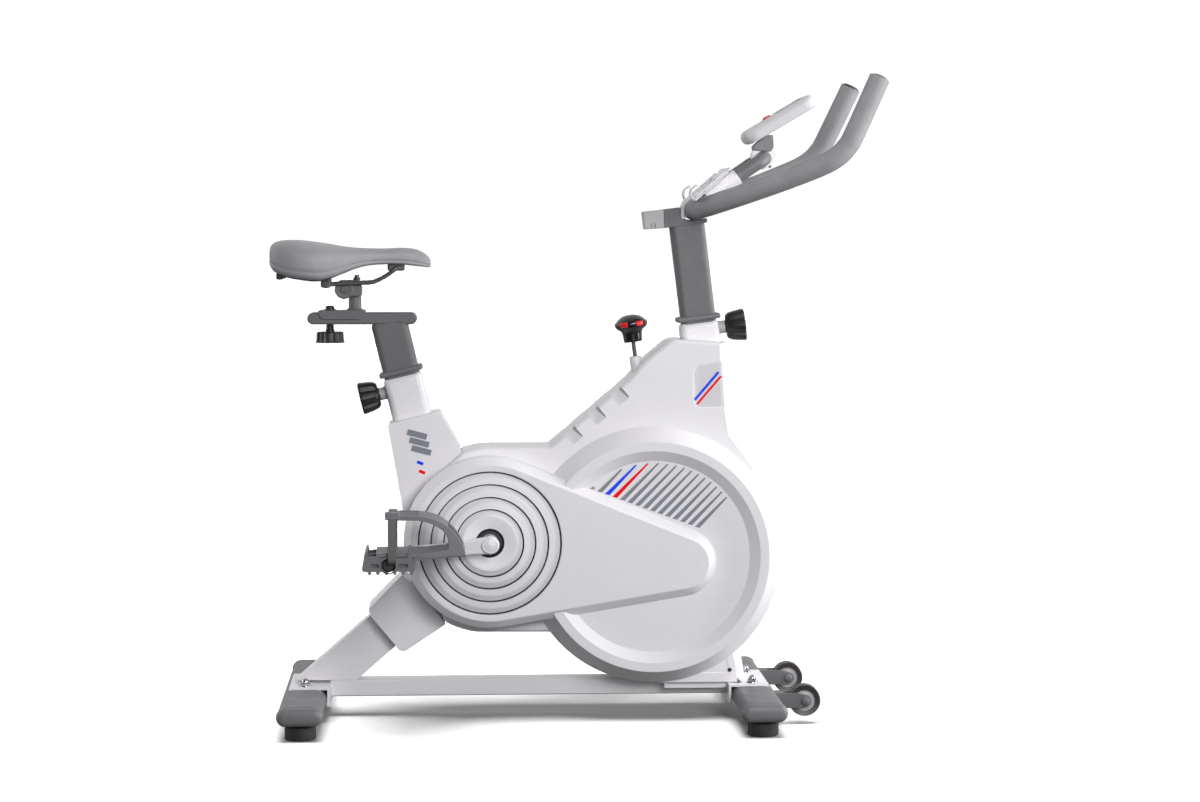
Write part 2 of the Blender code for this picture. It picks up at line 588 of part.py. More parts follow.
def add_crank(coll, side, word):
    px, pz = pedal_centre(side)
    out = side * CRANK_Y
    reach = Vector((px - CRANK[0], 0, pz - CRANK[1]))
    along = reach.normalized()
    across = Vector((-along.z, 0, along.x))
    hub, tip = Vector((CRANK[0], 0, CRANK[1])), Vector((px, 0, pz))
    shape = [hub + across * 0.0115, tip + across * 0.0085 - along * 0.004, tip + across * 0.006 + along * 0.010,
             tip - across * 0.006 + along * 0.010, tip - across * 0.0085 - along * 0.004, hub - across * 0.0115]
    y0, y1 = sorted((out - side * 0.006, out + side * 0.006))
    crank = plate("crank_" + word, [(p.x, p.z) for p in shape], y0, y1, 0.002)
    boss = rod("boss", hub + Vector((0, out - side * 0.014, 0)), hub + Vector((0, out + side * 0.011, 0)), 0.0140, 20)
    combine(crank, [boss])
    cut(crank, [rod("bore", hub + Vector((0, out - side * 0.02, 0)), hub + Vector((0, side * 0.1304, 0)), 0.0089, 24),
                rod("bore", tip + Vector((0, out - side * 0.02, 0)), tip + Vector((0, out + side * 0.02, 0)), 0.0054, 16)])
    keep(crank, "white", coll, (CRANK[0], 0, CRANK[1]))

    pivot = (px, side * PEDAL_Y, pz)
    y_in, y_out = side * 0.1500, side * 0.2560
    lo, hi = sorted((y_in, y_out))
    body = box("pedal_" + word, (px - 0.042, px + 0.042), (lo, hi), (pz - 0.0145, pz + 0.0120), 0.003, 1)
    wells = [box("well", (px + s * 0.0265 - 0.0095, px + s * 0.0265 + 0.0095),
                 tuple(sorted((side * (0.158 + k * 0.047), side * (0.158 + k * 0.047 + 0.041)))),
                 (pz - 0.03, pz + 0.03)) for s in (-1, 1) for k in (0, 1)]
    cut(body, wells)
    spindle = rod("spindle", (px, out - side * 0.006, pz), (px, side * 0.200, pz), 0.005, 16)
    keep(combine(body, [spindle]), "grey", coll, pivot)

    cage_shape = [(-0.020, 0.0125), (0.060, 0.0125), (0.095, 0.010), (0.1190, 0.026), (0.1150, 0.048),
                  (0.103, 0.066), (0.082, 0.0795), (0.060, 0.0840), (0.020, 0.0840), (0.020, 0.0770),
                  (0.058, 0.0760), (0.078, 0.0695), (0.092, 0.057), (0.100, 0.042), (0.098, 0.028),
                  (0.088, 0.0190), (0.060, 0.0190), (-0.020, 0.0190)]
    lo, hi = sorted((side * 0.1570, side * 0.2520))
    cage = plate("toe_cage_" + word, [(px + x, pz + z) for x, z in cage_shape], lo, hi)
    lo, hi = sorted((side * 0.1700, side * 0.2390))
    cut(cage, [box("window", (px - 0.03, px + 0.096), (lo, hi), (pz + 0.0350, pz + 0.1)),
               box("window", (px + 0.0435, px + 0.088), (lo, hi), (pz - 0.01, pz + 0.05))])
    keep(cage, "grey", coll, pivot)

    strap = box("toe_strap_" + word, (px - 0.001, px + 0.013), tuple(sorted((side * 0.1478, side * 0.2615))),
                (pz - 0.0185, pz + 0.0895))
    cut(strap, [box("inside", (px - 0.03, px + 0.03), tuple(sorted((side * 0.1495, side * 0.2590))),
                    (pz - 0.0165, pz + 0.0875)),
                rod("spindle_gap", (px, side * 0.14, pz), (px, side * 0.155, pz), 0.0056, 16)])
    buckle = box("buckle", (px - 0.004, px + 0.016), tuple(sorted((side * 0.2400, side * 0.2617))),
                 (pz + 0.0880, pz + 0.0930))
    keep(combine(strap, [buckle]), "grey", coll, pivot)


# ---------------------------------------------------------------- brake

def add_brake(coll):
    down, low = tension_axis()
    up = -down
    keep(rod("tension_rod", low - up * 0.143, low + up * 0.0360, 0.0034, 16), "steel", coll, tuple(low))
    knob = [(0.0037, 0.0232), (0.0110, 0.0232), (0.0120, 0.0340), (0.0160, 0.0390), (0.0255, 0.0450),
            (0.0270, 0.0500), (0.0262, 0.0545), (0.0180, 0.0620), (0.0090, 0.0655), (0, 0.0665),
            (0, 0.0365), (0.0037, 0.0365)]
    keep(lathe("tension_knob", knob, low, up, 20), "black", coll, tuple(low))
    centre = Vector((WHEEL[0], 0, WHEEL[1]))
    end = low - up * 0.1435
    pad = box("brake_pad", (end.x - 0.024, end.x + 0.024), (-0.011, 0.011), (end.z - 0.0125, end.z - 0.0005), 0.002, 1)
    cut(pad, [rod("wheel_space", centre - Vector((0, 0.1, 0)), centre + Vector((0, 0.1, 0)), 0.1720, 96)])
    keep(pad, "felt", coll, tuple(end))


# ---------------------------------------------------------------- seat

def star_knob(name, point, direction, r_in, r_out, start, end, stem, reach, lobes=6):
    """A grip with rounded lobes on a threaded stem that points back along the axis."""
    grip = lathe(name, [(0, start), (r_in - 0.006, start), (r_in, start + 0.003), (r_in, end - 0.002),
                        (r_in - 0.003, end), (0, end)], point, direction, 20)
    side = direction.orthogonal().normalized()
    fins = []
    for i in range(lobes):
        spoke = Matrix.Rotation(2 * math.pi * (i + 0.5) / lobes, 3, direction) @ side
        base = Vector(point) + spoke * (r_in - 0.001)
        fins.append(rod("fin", base + direction * (start + 0.002), base + direction * (end - 0.001),
                        r_out - r_in + 0.001, 8))
    shaft = rod("shaft", Vector(point) - direction * reach, Vector(point) + direction * (start + 0.002), stem, 16)
    return combine(grip, fins + [shaft])


def add_seat_parts(coll):
    post = bar("seat_post", SEAT_LINE, SEAT_TILT, 0.430, 0.662, 0.0600, 0.0400, 0.004, 1)
    end = 0.0100
    top = arc((-0.2700, 0.665), end, -90, 90, 6) + arc((-0.4310, 0.665), end, 90, 270, 6)
    rail = plate("rail", top, -0.020, 0.020)
    combine(post, [rail])
    cut(post, [box("slot", (-0.4260, -0.3820), (-0.0062, 0.0062), (0.60, 0.70))])
    keep(post, "grey", coll, tuple(on_line(SEAT_LINE, SEAT_TILT, 0.572)))

    point, direction = seat_knob_axis()
    knob = star_knob("seat_post_knob", point, direction, 0.0225, 0.0265, 0.0125, 0.0330, 0.0048, 0.0020)
    keep(knob, "black", coll, tuple(point))

    slider = box("seat_slider", (-0.4240, -0.3440), (-0.0235, 0.0235), (0.6700, 0.6785))
    cut(slider, [box("channel", (-0.5, -0.3), (-0.0205, 0.0205), (0.6, 0.6755))])
    skirts = [plate("skirt", [(-0.4240, 0.6700), (-0.3440, 0.6700), (-0.3440, 0.6690), (-0.3510, 0.6625),
                              (-0.4170, 0.6625), (-0.4240, 0.6690)], s * 0.0205, s * 0.0235) for s in (-1, 1)]
    pillar = rod("pillar", (-0.3625, 0, 0.6770), (-0.3625, 0, 0.7170), 0.0106, 24)
    combine(slider, skirts + [pillar])
    cut(slider, [rod("bolt_hole", (-0.4040, 0, 0.6), (-0.4040, 0, 0.7), 0.0055, 16)])
    keep(slider, "grey", coll, (-0.3625, 0, 0.675))

    knob = lathe("slider_knob", [(0, 0.0175), (0.0235, 0.0175), (0.0245, 0.0190), (0.0245, 0.0340),
                                 (0.0235, 0.0355), (0.0070, 0.0355), (0.0070, 0.0450), (0.0050, 0.0450),
                                 (0.0050, 0.0790), (0, 0.0790)], (-0.4040, 0, 0.6070), UP, 18)
    bolt_head = lathe("slider_bolt_head", [(0, 0.0008), (0.0080, 0.0008), (0.0080, 0.0065), (0.0060, 0.0080),
                                           (0, 0.0080)], (-0.4040, 0, 0.6785), UP, 12)
    keep(combine(knob, [bolt_head]), "black", coll, (-0.4040, 0, 0.6245))

    clamp = box("seat_clamp", (-0.3930, -0.3500), (-0.0175, 0.0175), (0.7010, 0.7290), 0.003, 1)
    combine(clamp, [rod("cheek", (-0.3800, -0.0184, 0.7130), (-0.3800, 0.0184, 0.7130), 0.0085, 16),
                    rod("cheek", (-0.3800, -0.0180, 0.7130), (-0.3800, 0.0180, 0.7130), 0.0157, 20),
                    rod("bolt", (-0.3590, 0, 0.7280), (-0.3590, 0, 0.7370), 0.0042, 16)])
    cut(clamp, [rod("socket", (-0.3625, 0, 0.69), (-0.3625, 0, 0.7175), 0.0110, 24)])
    keep(clamp, "grey", coll, (-0.3800, 0, 0.7130))

    path = [(-0.2930, 0.7480), (-0.3100, 0.7360), (-0.3250, 0.7280), (-0.3380, 0.7245), (-0.3700, 0.7235),
            (-0.4000, 0.7215), (-0.4060, 0.7195)]
    near = [(x, -0.0222, z) for x, z in path]
    far = [(x, 0.0222, z) for x, z in reversed(path)]
    nose = [(-0.2860, 0.0120, 0.7490), (-0.2835, 0.0, 0.7490), (-0.2860, -0.0120, 0.7490)]
    back = [(-0.4100, -0.0140, 0.7185), (-0.4110, 0.0, 0.7180), (-0.4100, 0.0140, 0.7185)]
    keep(pipe("saddle_rails", near + back + far + nose, 0.0034, 2, True), "steel", coll, (-0.3800, 0, 0.7130))


SADDLE_STATIONS = (  # x, top, underside, half width
    (-0.5020, 0.7790, 0.7620, 0.0480), (-0.4980, 0.7890, 0.7560, 0.0640), (-0.4860, 0.7945, 0.7460, 0.0755),
    (-0.4640, 0.7955, 0.7350, 0.0810), (-0.4420, 0.7935, 0.7290, 0.0820), (-0.4180, 0.7895, 0.7275, 0.0790),
    (-0.3960, 0.7855, 0.7330, 0.0700), (-0.3720, 0.7835, 0.7450, 0.0560), (-0.3480, 0.7828, 0.7535, 0.0440),
    (-0.3200, 0.7828, 0.7555, 0.0345), (-0.2880, 0.7830, 0.7545, 0.0290), (-0.2620, 0.7795, 0.7530, 0.0260),
    (-0.2450, 0.7700, 0.7520, 0.0215), (-0.2370, 0.7610, 0.7530, 0.0130))


def add_saddle(coll):
    """A saddle lofted through rounded sections from the tail to the nose."""
    bm = bmesh.new()
    steps, rings = 16, []
    for x, top, under, half in SADDLE_STATIONS:
        mid, ring = under + (top - under) * 0.42, []
        for i in range(steps):
            a = 2 * math.pi * i / steps
            c, s = math.cos(a), math.sin(a)
            y = half * math.copysign(abs(c) ** 0.75, c)
            z = mid + (top - mid if s > 0 else mid - under) * math.copysign(abs(s) ** 0.8, s)
            ring.append(bm.verts.new((x, y, z)))
        rings.append(ring)
    for a, b in zip(rings, rings[1:]):
        for i in range(steps):
            j = (i + 1) % steps
            bm.faces.new((a[i], a[j], b[j], b[i]))
    bm.faces.new(rings[0])
    bm.faces.new(list(reversed(rings[-1])))
    keep(from_bmesh("saddle", bm), "pale", coll, (-0.3800, 0, 0.7130))


# ---------------------------------------------------------------- handlebar

BAR_PATH = ((0.2030, 0.0300, 0.8455), (0.2180, 0.0600, 0.8500), (0.2480, 0.0950, 0.8605),
            (0.2900, 0.1280, 0.8755), (0.3400, 0.1540, 0.8940), (0.3920, 0.1740, 0.9150),
            (0.4170, 0.1795, 0.9290), (0.4330, 0.1800, 0.9450), (0.4450, 0.1800, 0.9650),
            (0.4875, 0.1800, 1.0560))
LOOP_PATH = ((0.2310, 0.0480, 0.8721), (0.2960, 0.0480, 0.9170), (0.3080, 0.0450, 0.9245),
             (0.3150, 0.0360, 0.9290), (0.3170, 0.0230, 0.9305))


def mirrored(path):
    return [(x, -y, z) for x, y, z in path[::-1]] + list(path)


def add_handlebar(coll):
    post = bar("handlebar_post", HEAD_LINE, HEAD_TILT, 0.560, 0.8160, 0.0580, 0.0400, 0.004, 1)
    beam = plate("beam", [(0.1130, 0.8130), (0.1130, 0.8430), (0.1500, 0.8430), (0.1760, 0.8455),
                          (0.1760, 0.8330), (0.2290, 0.8240), (0.2290, 0.8110), (0.1500, 0.8110)],
                 -0.020, 0.020)
    combine(post, [beam])
    keep(post, "grey", coll, tuple(on_line(HEAD_LINE, HEAD_TILT, 0.6600)))
    point, direction = head_knob_axis()
    knob = star_knob("handlebar_post_knob", point, direction, 0.0225, 0.0265, 0.0125, 0.0360, 0.0048, 0.0020)
    keep(knob, "black", coll, tuple(point))

    grip = pipe("handlebar", mirrored(BAR_PATH), 0.0170, 3)
    keep(grip, "grey", coll, (0.203, 0, 0.8455))
    other_arm = [(x, -y, z) for x, y, z in LOOP_PATH[::-1]]
    hoop = pipe("inner_loop", list(LOOP_PATH) + other_arm, 0.0115, 2)
    keep(hoop, "grey", coll)

    clamp = plate("handlebar_clamp", [(0.1780, 0.8336), (0.2280, 0.8252), (0.2280, 0.8360), (0.2240, 0.8660),
                                      (0.2100, 0.8700), (0.1900, 0.8690), (0.1800, 0.8600)], -0.0170, 0.0170)
    cut(clamp, [rod("bore", (0.203, -0.1, 0.8455), (0.203, 0.1, 0.8455), 0.0174, 28),
                pipe("bar_space", mirrored(BAR_PATH), 0.0175, 3)])
    keep(drop_loose(clamp), "white", coll)

    tray_shape = [(0.1960, 0.8780), (0.1960, 0.8730), (0.2100, 0.8730), (0.2640, 0.9105), (0.2640, 0.9145),
                  (0.2070, 0.8790)]
    tray = plate("phone_tray", tray_shape, -0.0560, 0.0560)
    keep(tray, "white", coll)


def add_console(coll):
    tilt = math.radians(30.5)
    along = Vector((math.cos(tilt), 0, math.sin(tilt)))
    normal = Vector((-along.z, 0, along.x))
    centre = Vector((0.3420, 0, 0.9950))
    body = box("console", (-0.0690, 0.0690), (-0.0430, 0.0430), (-0.0100, 0.0100), 0.0070, 3)
    body.data.transform(Matrix.Translation(centre) @ Matrix.Rotation(-tilt, 4, "Y"))
    spot = centre - along * 0.0130 + normal * 0.0100
    cut(body, [rod("button_well", spot - normal * 0.0045, spot + normal * 0.01, 0.0075, 24)])
    tube = Vector((0.3170, 0, 0.9305))
    under = centre - along * 0.0080 - normal * 0.0095
    neck = rod("neck", tube + (under - tube).normalized() * 0.0150, under, 0.0080, 20)
    combine(body, [neck])
    clip = lathe("clip", [(0.0119, -0.0110), (0.0165, -0.0110), (0.0165, 0.0110), (0.0119, 0.0110)],
                 tube, Vector((0, 1, 0)), 28)
    combine(body, [clip])
    keep(body, "white", coll, tuple(tube))
    button = rod("console_button", spot - normal * 0.0028, spot + normal * 0.0012, 0.0070, 24)
    keep(button, "red", coll, tuple(spot))


# ---------------------------------------------------------------- assembly

def main():
    for obj in list(bpy.data.objects):
        bpy.data.objects.remove(obj)
    bike = bpy.data.collections.new("exercise_bike")
    cutters = bpy.data.collections.new("cutters")
    bpy.context.scene.collection.children.link(bike)
    bpy.context.scene.collection.children.link(cutters)
    add_floor_rail(bike)
    add_stabilisers(bike)
    add_transport_wheels(bike)
    add_frame_tubes(bike)
    add_collars(bike)
    add_shells(bike)
    add_covers(bike)
    add_drive(bike)
    add_brake(bike)
    add_seat_parts(bike)
    add_saddle(bike)
    add_handlebar(bike)
    add_console(bike)


main()
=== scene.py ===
"""Looks of the exercise bike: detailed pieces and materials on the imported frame."""
import math

import bmesh
import bpy
from mathutils import Matrix, Vector, noise


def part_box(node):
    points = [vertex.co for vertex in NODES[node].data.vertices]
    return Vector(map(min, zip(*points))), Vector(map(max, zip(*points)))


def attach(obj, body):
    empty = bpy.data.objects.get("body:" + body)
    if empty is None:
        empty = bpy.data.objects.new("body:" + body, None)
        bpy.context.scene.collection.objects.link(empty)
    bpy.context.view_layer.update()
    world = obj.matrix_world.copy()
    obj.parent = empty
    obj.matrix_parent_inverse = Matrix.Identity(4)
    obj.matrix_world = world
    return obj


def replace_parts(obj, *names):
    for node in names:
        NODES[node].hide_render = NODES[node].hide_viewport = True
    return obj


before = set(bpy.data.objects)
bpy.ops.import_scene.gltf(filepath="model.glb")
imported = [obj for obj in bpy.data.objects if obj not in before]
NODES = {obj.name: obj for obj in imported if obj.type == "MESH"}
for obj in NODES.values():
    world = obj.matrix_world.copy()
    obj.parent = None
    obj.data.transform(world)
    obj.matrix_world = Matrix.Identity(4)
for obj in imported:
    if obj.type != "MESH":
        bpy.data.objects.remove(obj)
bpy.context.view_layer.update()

UP = Vector((0, 0, 1))
SIDE = Vector((0, 1, 0))
CRANK = Vector((-0.141, 0, 0.299))
WHEEL = Vector((0.13, 0, 0.274))
SEAT_TILT = math.radians(13.5)
HEAD_TILT = math.radians(7)
SEAT_LINE = (-0.2885, 0.585)
HEAD_LINE = (0.208, 0.67)
REAR_X, FRONT_X, BAR_Z = -0.446, 0.296, 0.04
RIGHT, LEFT = -1, 1
WORDS = {RIGHT: "right", LEFT: "left"}


# ---------------------------------------------------------------- materials

def nodes_of(name):
    mat = bpy.data.materials.new(name)
    mat.use_nodes = True
    tree = mat.node_tree
    return mat, tree, tree.nodes["Principled BSDF"]


def add(tree, kind, **values):
    node = tree.nodes.new(kind)
    for key, value in values.items():
        if key in node.inputs:
            node.inputs[key].default_value = value
        else:
            setattr(node, key, value)
    return node


def noise_node(tree, scale, detail=4.0, roughness=0.55, stretch=(1, 1, 1)):
    coords = add(tree, "ShaderNodeTexCoord")
    place = add(tree, "ShaderNodeMapping", Scale=stretch)
    tree.links.new(coords.outputs["Object"], place.inputs["Vector"])
    tex = add(tree, "ShaderNodeTexNoise", Scale=scale, Detail=detail, Roughness=roughness)
    tree.links.new(place.outputs["Vector"], tex.inputs["Vector"])
    return tex.outputs["Fac"]


def cell_node(tree, scale):
    coords = add(tree, "ShaderNodeTexCoord")
    cells = add(tree, "ShaderNodeTexVoronoi", Scale=scale)
    tree.links.new(coords.outputs["Object"], cells.inputs["Vector"])
    return cells.outputs["Distance"]


def multiply(tree, base, factor, share):
    node = add(tree, "ShaderNodeMixRGB", blend_type="MULTIPLY", Fac=share)
    tree.links.new(base, node.inputs["Color1"])
    tree.links.new(factor, node.inputs["Color2"])
    return node.outputs["Color"]


def bump_node(tree, source, strength, distance, under=None):
    node = add(tree, "ShaderNodeBump", Strength=strength, Distance=distance)
    tree.links.new(source, node.inputs["Height"])
    if under:
        tree.links.new(under, node.inputs["Normal"])
    return node.outputs["Normal"]


def two_tone(tree, colour, scale, detail, vary_down, vary_up):
    """Broad patches a little darker and lighter than the base colour."""
    patches = noise_node(tree, scale, detail)
    return ramp(tree, patches, shade(colour, 1 - vary_down), shade(colour, 1 + vary_up))


def set_shader(tree, shader, colour, gloss, normal, **values):
    """Linked colour, roughness and normal, and plain numbers for the other sockets."""
    tree.links.new(colour, shader.inputs["Base Color"])
    tree.links.new(gloss, shader.inputs["Roughness"])
    tree.links.new(normal, shader.inputs["Normal"])
    for key, value in values.items():
        shader.inputs[key.replace("_", " ")].default_value = value


def ramp(tree, source, low, high, start=0.35, end=0.65):
    node = add(tree, "ShaderNodeValToRGB")
    for element, place, colour in zip(node.color_ramp.elements, (start, end), (low, high)):
        element.position = place
        element.color = (*colour, 1)
    tree.links.new(source, node.inputs["Fac"])
    return node.outputs["Color"]


def map_range(tree, source, start, end, low, high, kind="LINEAR"):
    node = add(tree, "ShaderNodeMapRange", interpolation_type=kind)
    for key, value in (("From Min", start), ("From Max", end), ("To Min", low), ("To Max", high)):
        node.inputs[key].default_value = value
    tree.links.new(source, node.inputs["Value"])
    return node.outputs["Result"]


def spread(tree, source, low, high):
    return map_range(tree, source, 0.3, 0.7, low, high)


def shade(colour, factor):
    return tuple(min(1.0, c * factor) for c in colour)


def finish(name, colour, rough, vary=0.05, grain=900.0, bump=0.08, metal=0.0, coat=0.0,
           sheen=0.0, stretch=(1, 1, 1), mottle=9.0, specular=0.5, speckle=0.05):
    """Painted, moulded or metal surface: broad tone shifts, fine grain, uneven gloss."""
    mat, tree, shader = nodes_of(name)
    fine = noise_node(tree, grain, 5.0, 0.6, stretch)
    specks = ramp(tree, fine, (1 - speckle,) * 3, (1.0,) * 3, 0.38, 0.62)
    tone = multiply(tree, two_tone(tree, colour, mottle, 3.0, vary, vary), specks, 1.0)
    gloss = spread(tree, noise_node(tree, mottle * 5, 5.0, 0.65), rough * 0.85, min(1, rough * 1.18))
    set_shader(tree, shader, tone, gloss, bump_node(tree, fine, bump, 0.0006), Metallic=metal,
               Coat_Weight=coat, Coat_Roughness=0.25, Sheen_Weight=sheen, Specular_IOR_Level=specular)
    return mat


def leather(name, colour):
    """Synthetic leather: cell grain over soft creases, with a dry sheen."""
    mat, tree, shader = nodes_of(name)
    cells = cell_node(tree, 520.0)
    creases = noise_node(tree, 160.0, 6.0, 0.7)
    tone = multiply(tree, two_tone(tree, colour, 14.0, 4.0, 0.08, 0.07), cells, 0.1)
    relief = bump_node(tree, creases, 0.1, 0.0008, bump_node(tree, cells, 0.16, 0.0006))
    set_shader(tree, shader, tone, spread(tree, creases, 0.42, 0.6), relief, Sheen_Weight=0.08)
    return mat


def foam(name, colour):
    """Closed-cell foam grip: tiny pores and a soft matt skin."""
    mat, tree, shader = nodes_of(name)
    gloss = spread(tree, noise_node(tree, 60.0, 5.0), 0.5, 0.68)
    set_shader(tree, shader, two_tone(tree, colour, 20.0, 4.0, 0.07, 0.06), gloss,
               bump_node(tree, cell_node(tree, 900.0), 0.18, 0.0005), Specular_IOR_Level=0.2)
    return mat


WHITE = (0.86, 0.842, 0.878)
GREY = (0.14, 0.136, 0.146)

SHELL = finish("shell_white", WHITE, 0.42, 0.012, 700, 0.12, coat=0.08, speckle=0.07)
PAINT = finish("frame_white_paint", shade(WHITE, 0.98), 0.38, 0.015, 650, 0.14, coat=0.12, speckle=0.08)
STEEL_GREY = finish("post_grey_paint", shade(GREY, 1.18), 0.46, 0.04, 700, 0.16, coat=0.0, speckle=0.16,
                    specular=0.3)
PLASTIC_GREY = finish("moulded_grey", shade(GREY, 1.25), 0.48, 0.05, 800, 0.16, speckle=0.1)
TYRE = finish("roller_tyre", (0.05, 0.043, 0.041), 0.38, 0.1, 700, 0.12, coat=0.2)
STRAP = finish("strap_webbing", shade(GREY, 0.95), 0.62, 0.06, 420, 0.35, stretch=(6, 1, 6))
# painted shadow: near-black for the rings that stand for shade in the ring slits
GROOVE_SHADOW = finish("painted_groove_shadow", (0.05, 0.049, 0.052), 0.7, 0.03, 800, 0.05, specular=0.2)
# painted shade: the white darkened to 0.87 for plates on the floors of the pockets and the badge recess
RECESS_SHADE = finish("recess_shade_white", shade(WHITE, 0.87), 0.46, 0.012, 700, 0.12, speckle=0.07)
# painted shade: the shell white darkened to 0.8 for the console case
SHADED_CASE_WHITE = finish("console_shaded_white", shade(WHITE, 0.8), 0.4, 0.012, 700, 0.1, specular=0.3, speckle=0.05)
BOLT = finish("dome_nut_steel", (0.42, 0.42, 0.44), 0.2, 0.05, 500, 0.05, metal=1.0)
ARM_PAINT = finish("crank_enamel", shade(WHITE, 0.97), 0.22, 0.012, 500, 0.05, coat=0.35, speckle=0.04)
PALE_GREY = finish("pale_grey_moulding", (0.46, 0.455, 0.47), 0.45, 0.03, 900, 0.1)
BLACK = finish("black_grip", (0.018, 0.018, 0.02), 0.42, 0.12, 700, 0.2)
BLACK_GLOSS = finish("black_gloss", (0.012, 0.012, 0.014), 0.22, 0.1, 500, 0.05, coat=0.3)
RUBBER = finish("foot_rubber", (0.022, 0.022, 0.024), 0.72, 0.15, 600, 0.3)
DARK_STEEL = finish("painted_dark_steel", (0.085, 0.083, 0.088), 0.34, 0.08, 900, 0.16, coat=0.2)
CHROME = finish("plated_steel", (0.72, 0.72, 0.74), 0.16, 0.05, 500, 0.05, metal=1.0)
STEEL = finish("turned_steel", (0.5, 0.5, 0.52), 0.3, 0.08, 300, 0.12, metal=1.0, stretch=(1, 12, 1))
IRON = finish("cast_iron", (0.11, 0.11, 0.12), 0.48, 0.12, 240, 0.3, metal=0.8)
BELT = finish("belt_rubber", (0.02, 0.02, 0.02), 0.8, 0.1, 500, 0.3)
FELT = finish("pressed_felt", (0.35, 0.3, 0.22), 0.95, 0.12, 260, 0.6, sheen=0.4)
RED = finish("signal_red", (0.86, 0.01, 0.02), 0.35, 0.05, 700, 0.06, coat=0.2)
RED_INK = finish("red_ink", (1.0, 0.004, 0.014), 0.5, 0.02, 900, 0.05, specular=0.1)
BLUE_INK = finish("blue_ink", (0.01, 0.065, 1.0), 0.5, 0.02, 900, 0.05, specular=0.1)
GREY_INK = finish("grey_ink", (0.25, 0.265, 0.305), 0.5, 0.03, 900, 0.05, specular=0.2)
SCREEN = finish("console_screen", (0.045, 0.055, 0.06), 0.12, 0.06, 60, 0.0, coat=0.6)
SADDLE_SKIN = leather("saddle_leather", (0.338, 0.33, 0.352))
SADDLE_BASE = finish("saddle_base", (0.1, 0.1, 0.105), 0.55, 0.08, 500, 0.2)
GRIP = foam("grip_foam", (0.33, 0.322, 0.339))


# ---------------------------------------------------------------- mesh helpers

def mesh_object(name, bm):
    """Object in the scene made from a bmesh, which is freed."""
    mesh = bpy.data.meshes.new(name)
    bm.to_mesh(mesh)
    bm.free()
    obj = bpy.data.objects.new(name, mesh)
    bpy.context.scene.collection.objects.link(obj)
    return obj


def smooth_shade(obj, sharp):
    obj.data.shade_smooth()
    obj.data.set_sharp_from_angle(angle=math.radians(sharp))


def even_normals(obj):
    obj.modifiers.new("even_normals", "WEIGHTED_NORMAL").keep_sharp = True
    return obj


def to_object(name, bm, mat, body, smooth=35):
    bmesh.ops.remove_doubles(bm, verts=bm.verts, dist=1e-6)
    bmesh.ops.recalc_face_normals(bm, faces=bm.faces)
    obj = mesh_object(name, bm)
    obj.data.materials.append(mat)
    smooth_shade(obj, smooth)
    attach(obj, body)
    return obj


def soften(obj, width, segments=3, angle=30):
    """Round the hard edges of a piece."""
    mod = obj.modifiers.new("round_edges", "BEVEL")
    mod.width = width
    mod.segments = segments
    mod.limit_method = "ANGLE"
    mod.angle_limit = math.radians(angle)
    mod.harden_normals = False
    return even_normals(obj)


def arc(centre, radius, start, end, steps):
    """Side-view (x, z) points on a circle, angles in degrees."""
    out = []
    for i in range(steps + 1):
        a = math.radians(start + (end - start) * i / steps)
        out.append((centre[0] + radius * math.cos(a), centre[1] + radius * math.sin(a)))
    return out


def plate_mesh(outline, y0, y1):
    bm = bmesh.new()
    face = bm.faces.new([bm.verts.new((x, y0, z)) for x, z in outline])
    grown = bmesh.ops.extrude_face_region(bm, geom=[face])
    moved = [g for g in grown["geom"] if isinstance(g, bmesh.types.BMVert)]
    bmesh.ops.translate(bm, verts=moved, vec=(0, y1 - y0, 0))
    bmesh.ops.recalc_face_normals(bm, faces=bm.faces)
    return bm


def plate(name, outline, y0, y1, mat, body="frame", bevel=0.0, segments=3, smooth=35):
    obj = to_object(name, plate_mesh(outline, y0, y1), mat, body, smooth)
    return soften(obj, bevel, segments) if bevel else obj


def rounded(outline, radius, steps=4):
    """Round the corners of a side-view outline; radius is one number or one per corner."""
    out = []
    count = len(outline)
    for i, corner in enumerate(outline):
        r = radius[i] if hasattr(radius, "__len__") else radius
        here = Vector(corner)
        a, b = Vector(outline[i - 1]) - here, Vector(outline[(i + 1) % count]) - here
        reach = min(r, a.length * 0.45, b.length * 0.45)
        if reach < 1e-5:
            out.append(tuple(here))
            continue
        start, end = here + a.normalized() * reach, here + b.normalized() * reach
        for k in range(steps + 1):
            t = k / steps
            out.append(tuple(start * (1 - t) ** 2 + here * 2 * t * (1 - t) + end * t ** 2))
    return out


def frame_at(place, axis):
    turn = Vector(axis).normalized().to_track_quat("Z", "Y").to_matrix().to_4x4()
    return Matrix.Translation(Vector(place)) @ turn


def lathe_mesh(profile, place, axis, steps=64):
    """Revolve (radius, height) points about an axis through a place."""
    at = frame_at(place, axis)
    bm = bmesh.new()
    rings = []
    for radius, height in profile:
        if radius < 1e-6:
            rings.append([bm.verts.new(at @ Vector((0, 0, height)))])
            continue
        rings.append([bm.verts.new(at @ Vector((radius * math.cos(a), radius * math.sin(a), height)))
                      for a in (2 * math.pi * i / steps for i in range(steps))])
    closed = profile[0][0] > 1e-6 and profile[-1][0] > 1e-6
    pairs = list(zip(rings, rings[1:])) + ([(rings[-1], rings[0])] if closed else [])
    for a, b in pairs:
        for i in range(steps):
            j = (i + 1) % steps
            corners = list(dict.fromkeys([a[i % len(a)], a[j % len(a)], b[j % len(b)], b[i % len(b)]]))
            if len(corners) > 2:
                bm.faces.new(corners)
    return bm


def lathe(name, profile, place, axis, mat, body="frame", steps=64, smooth=32):
    obj = to_object(name, lathe_mesh(profile, place, axis, steps), mat, body, smooth)
    obj.modifiers.new("even_normals", "WEIGHTED_NORMAL").keep_sharp = True
    return obj


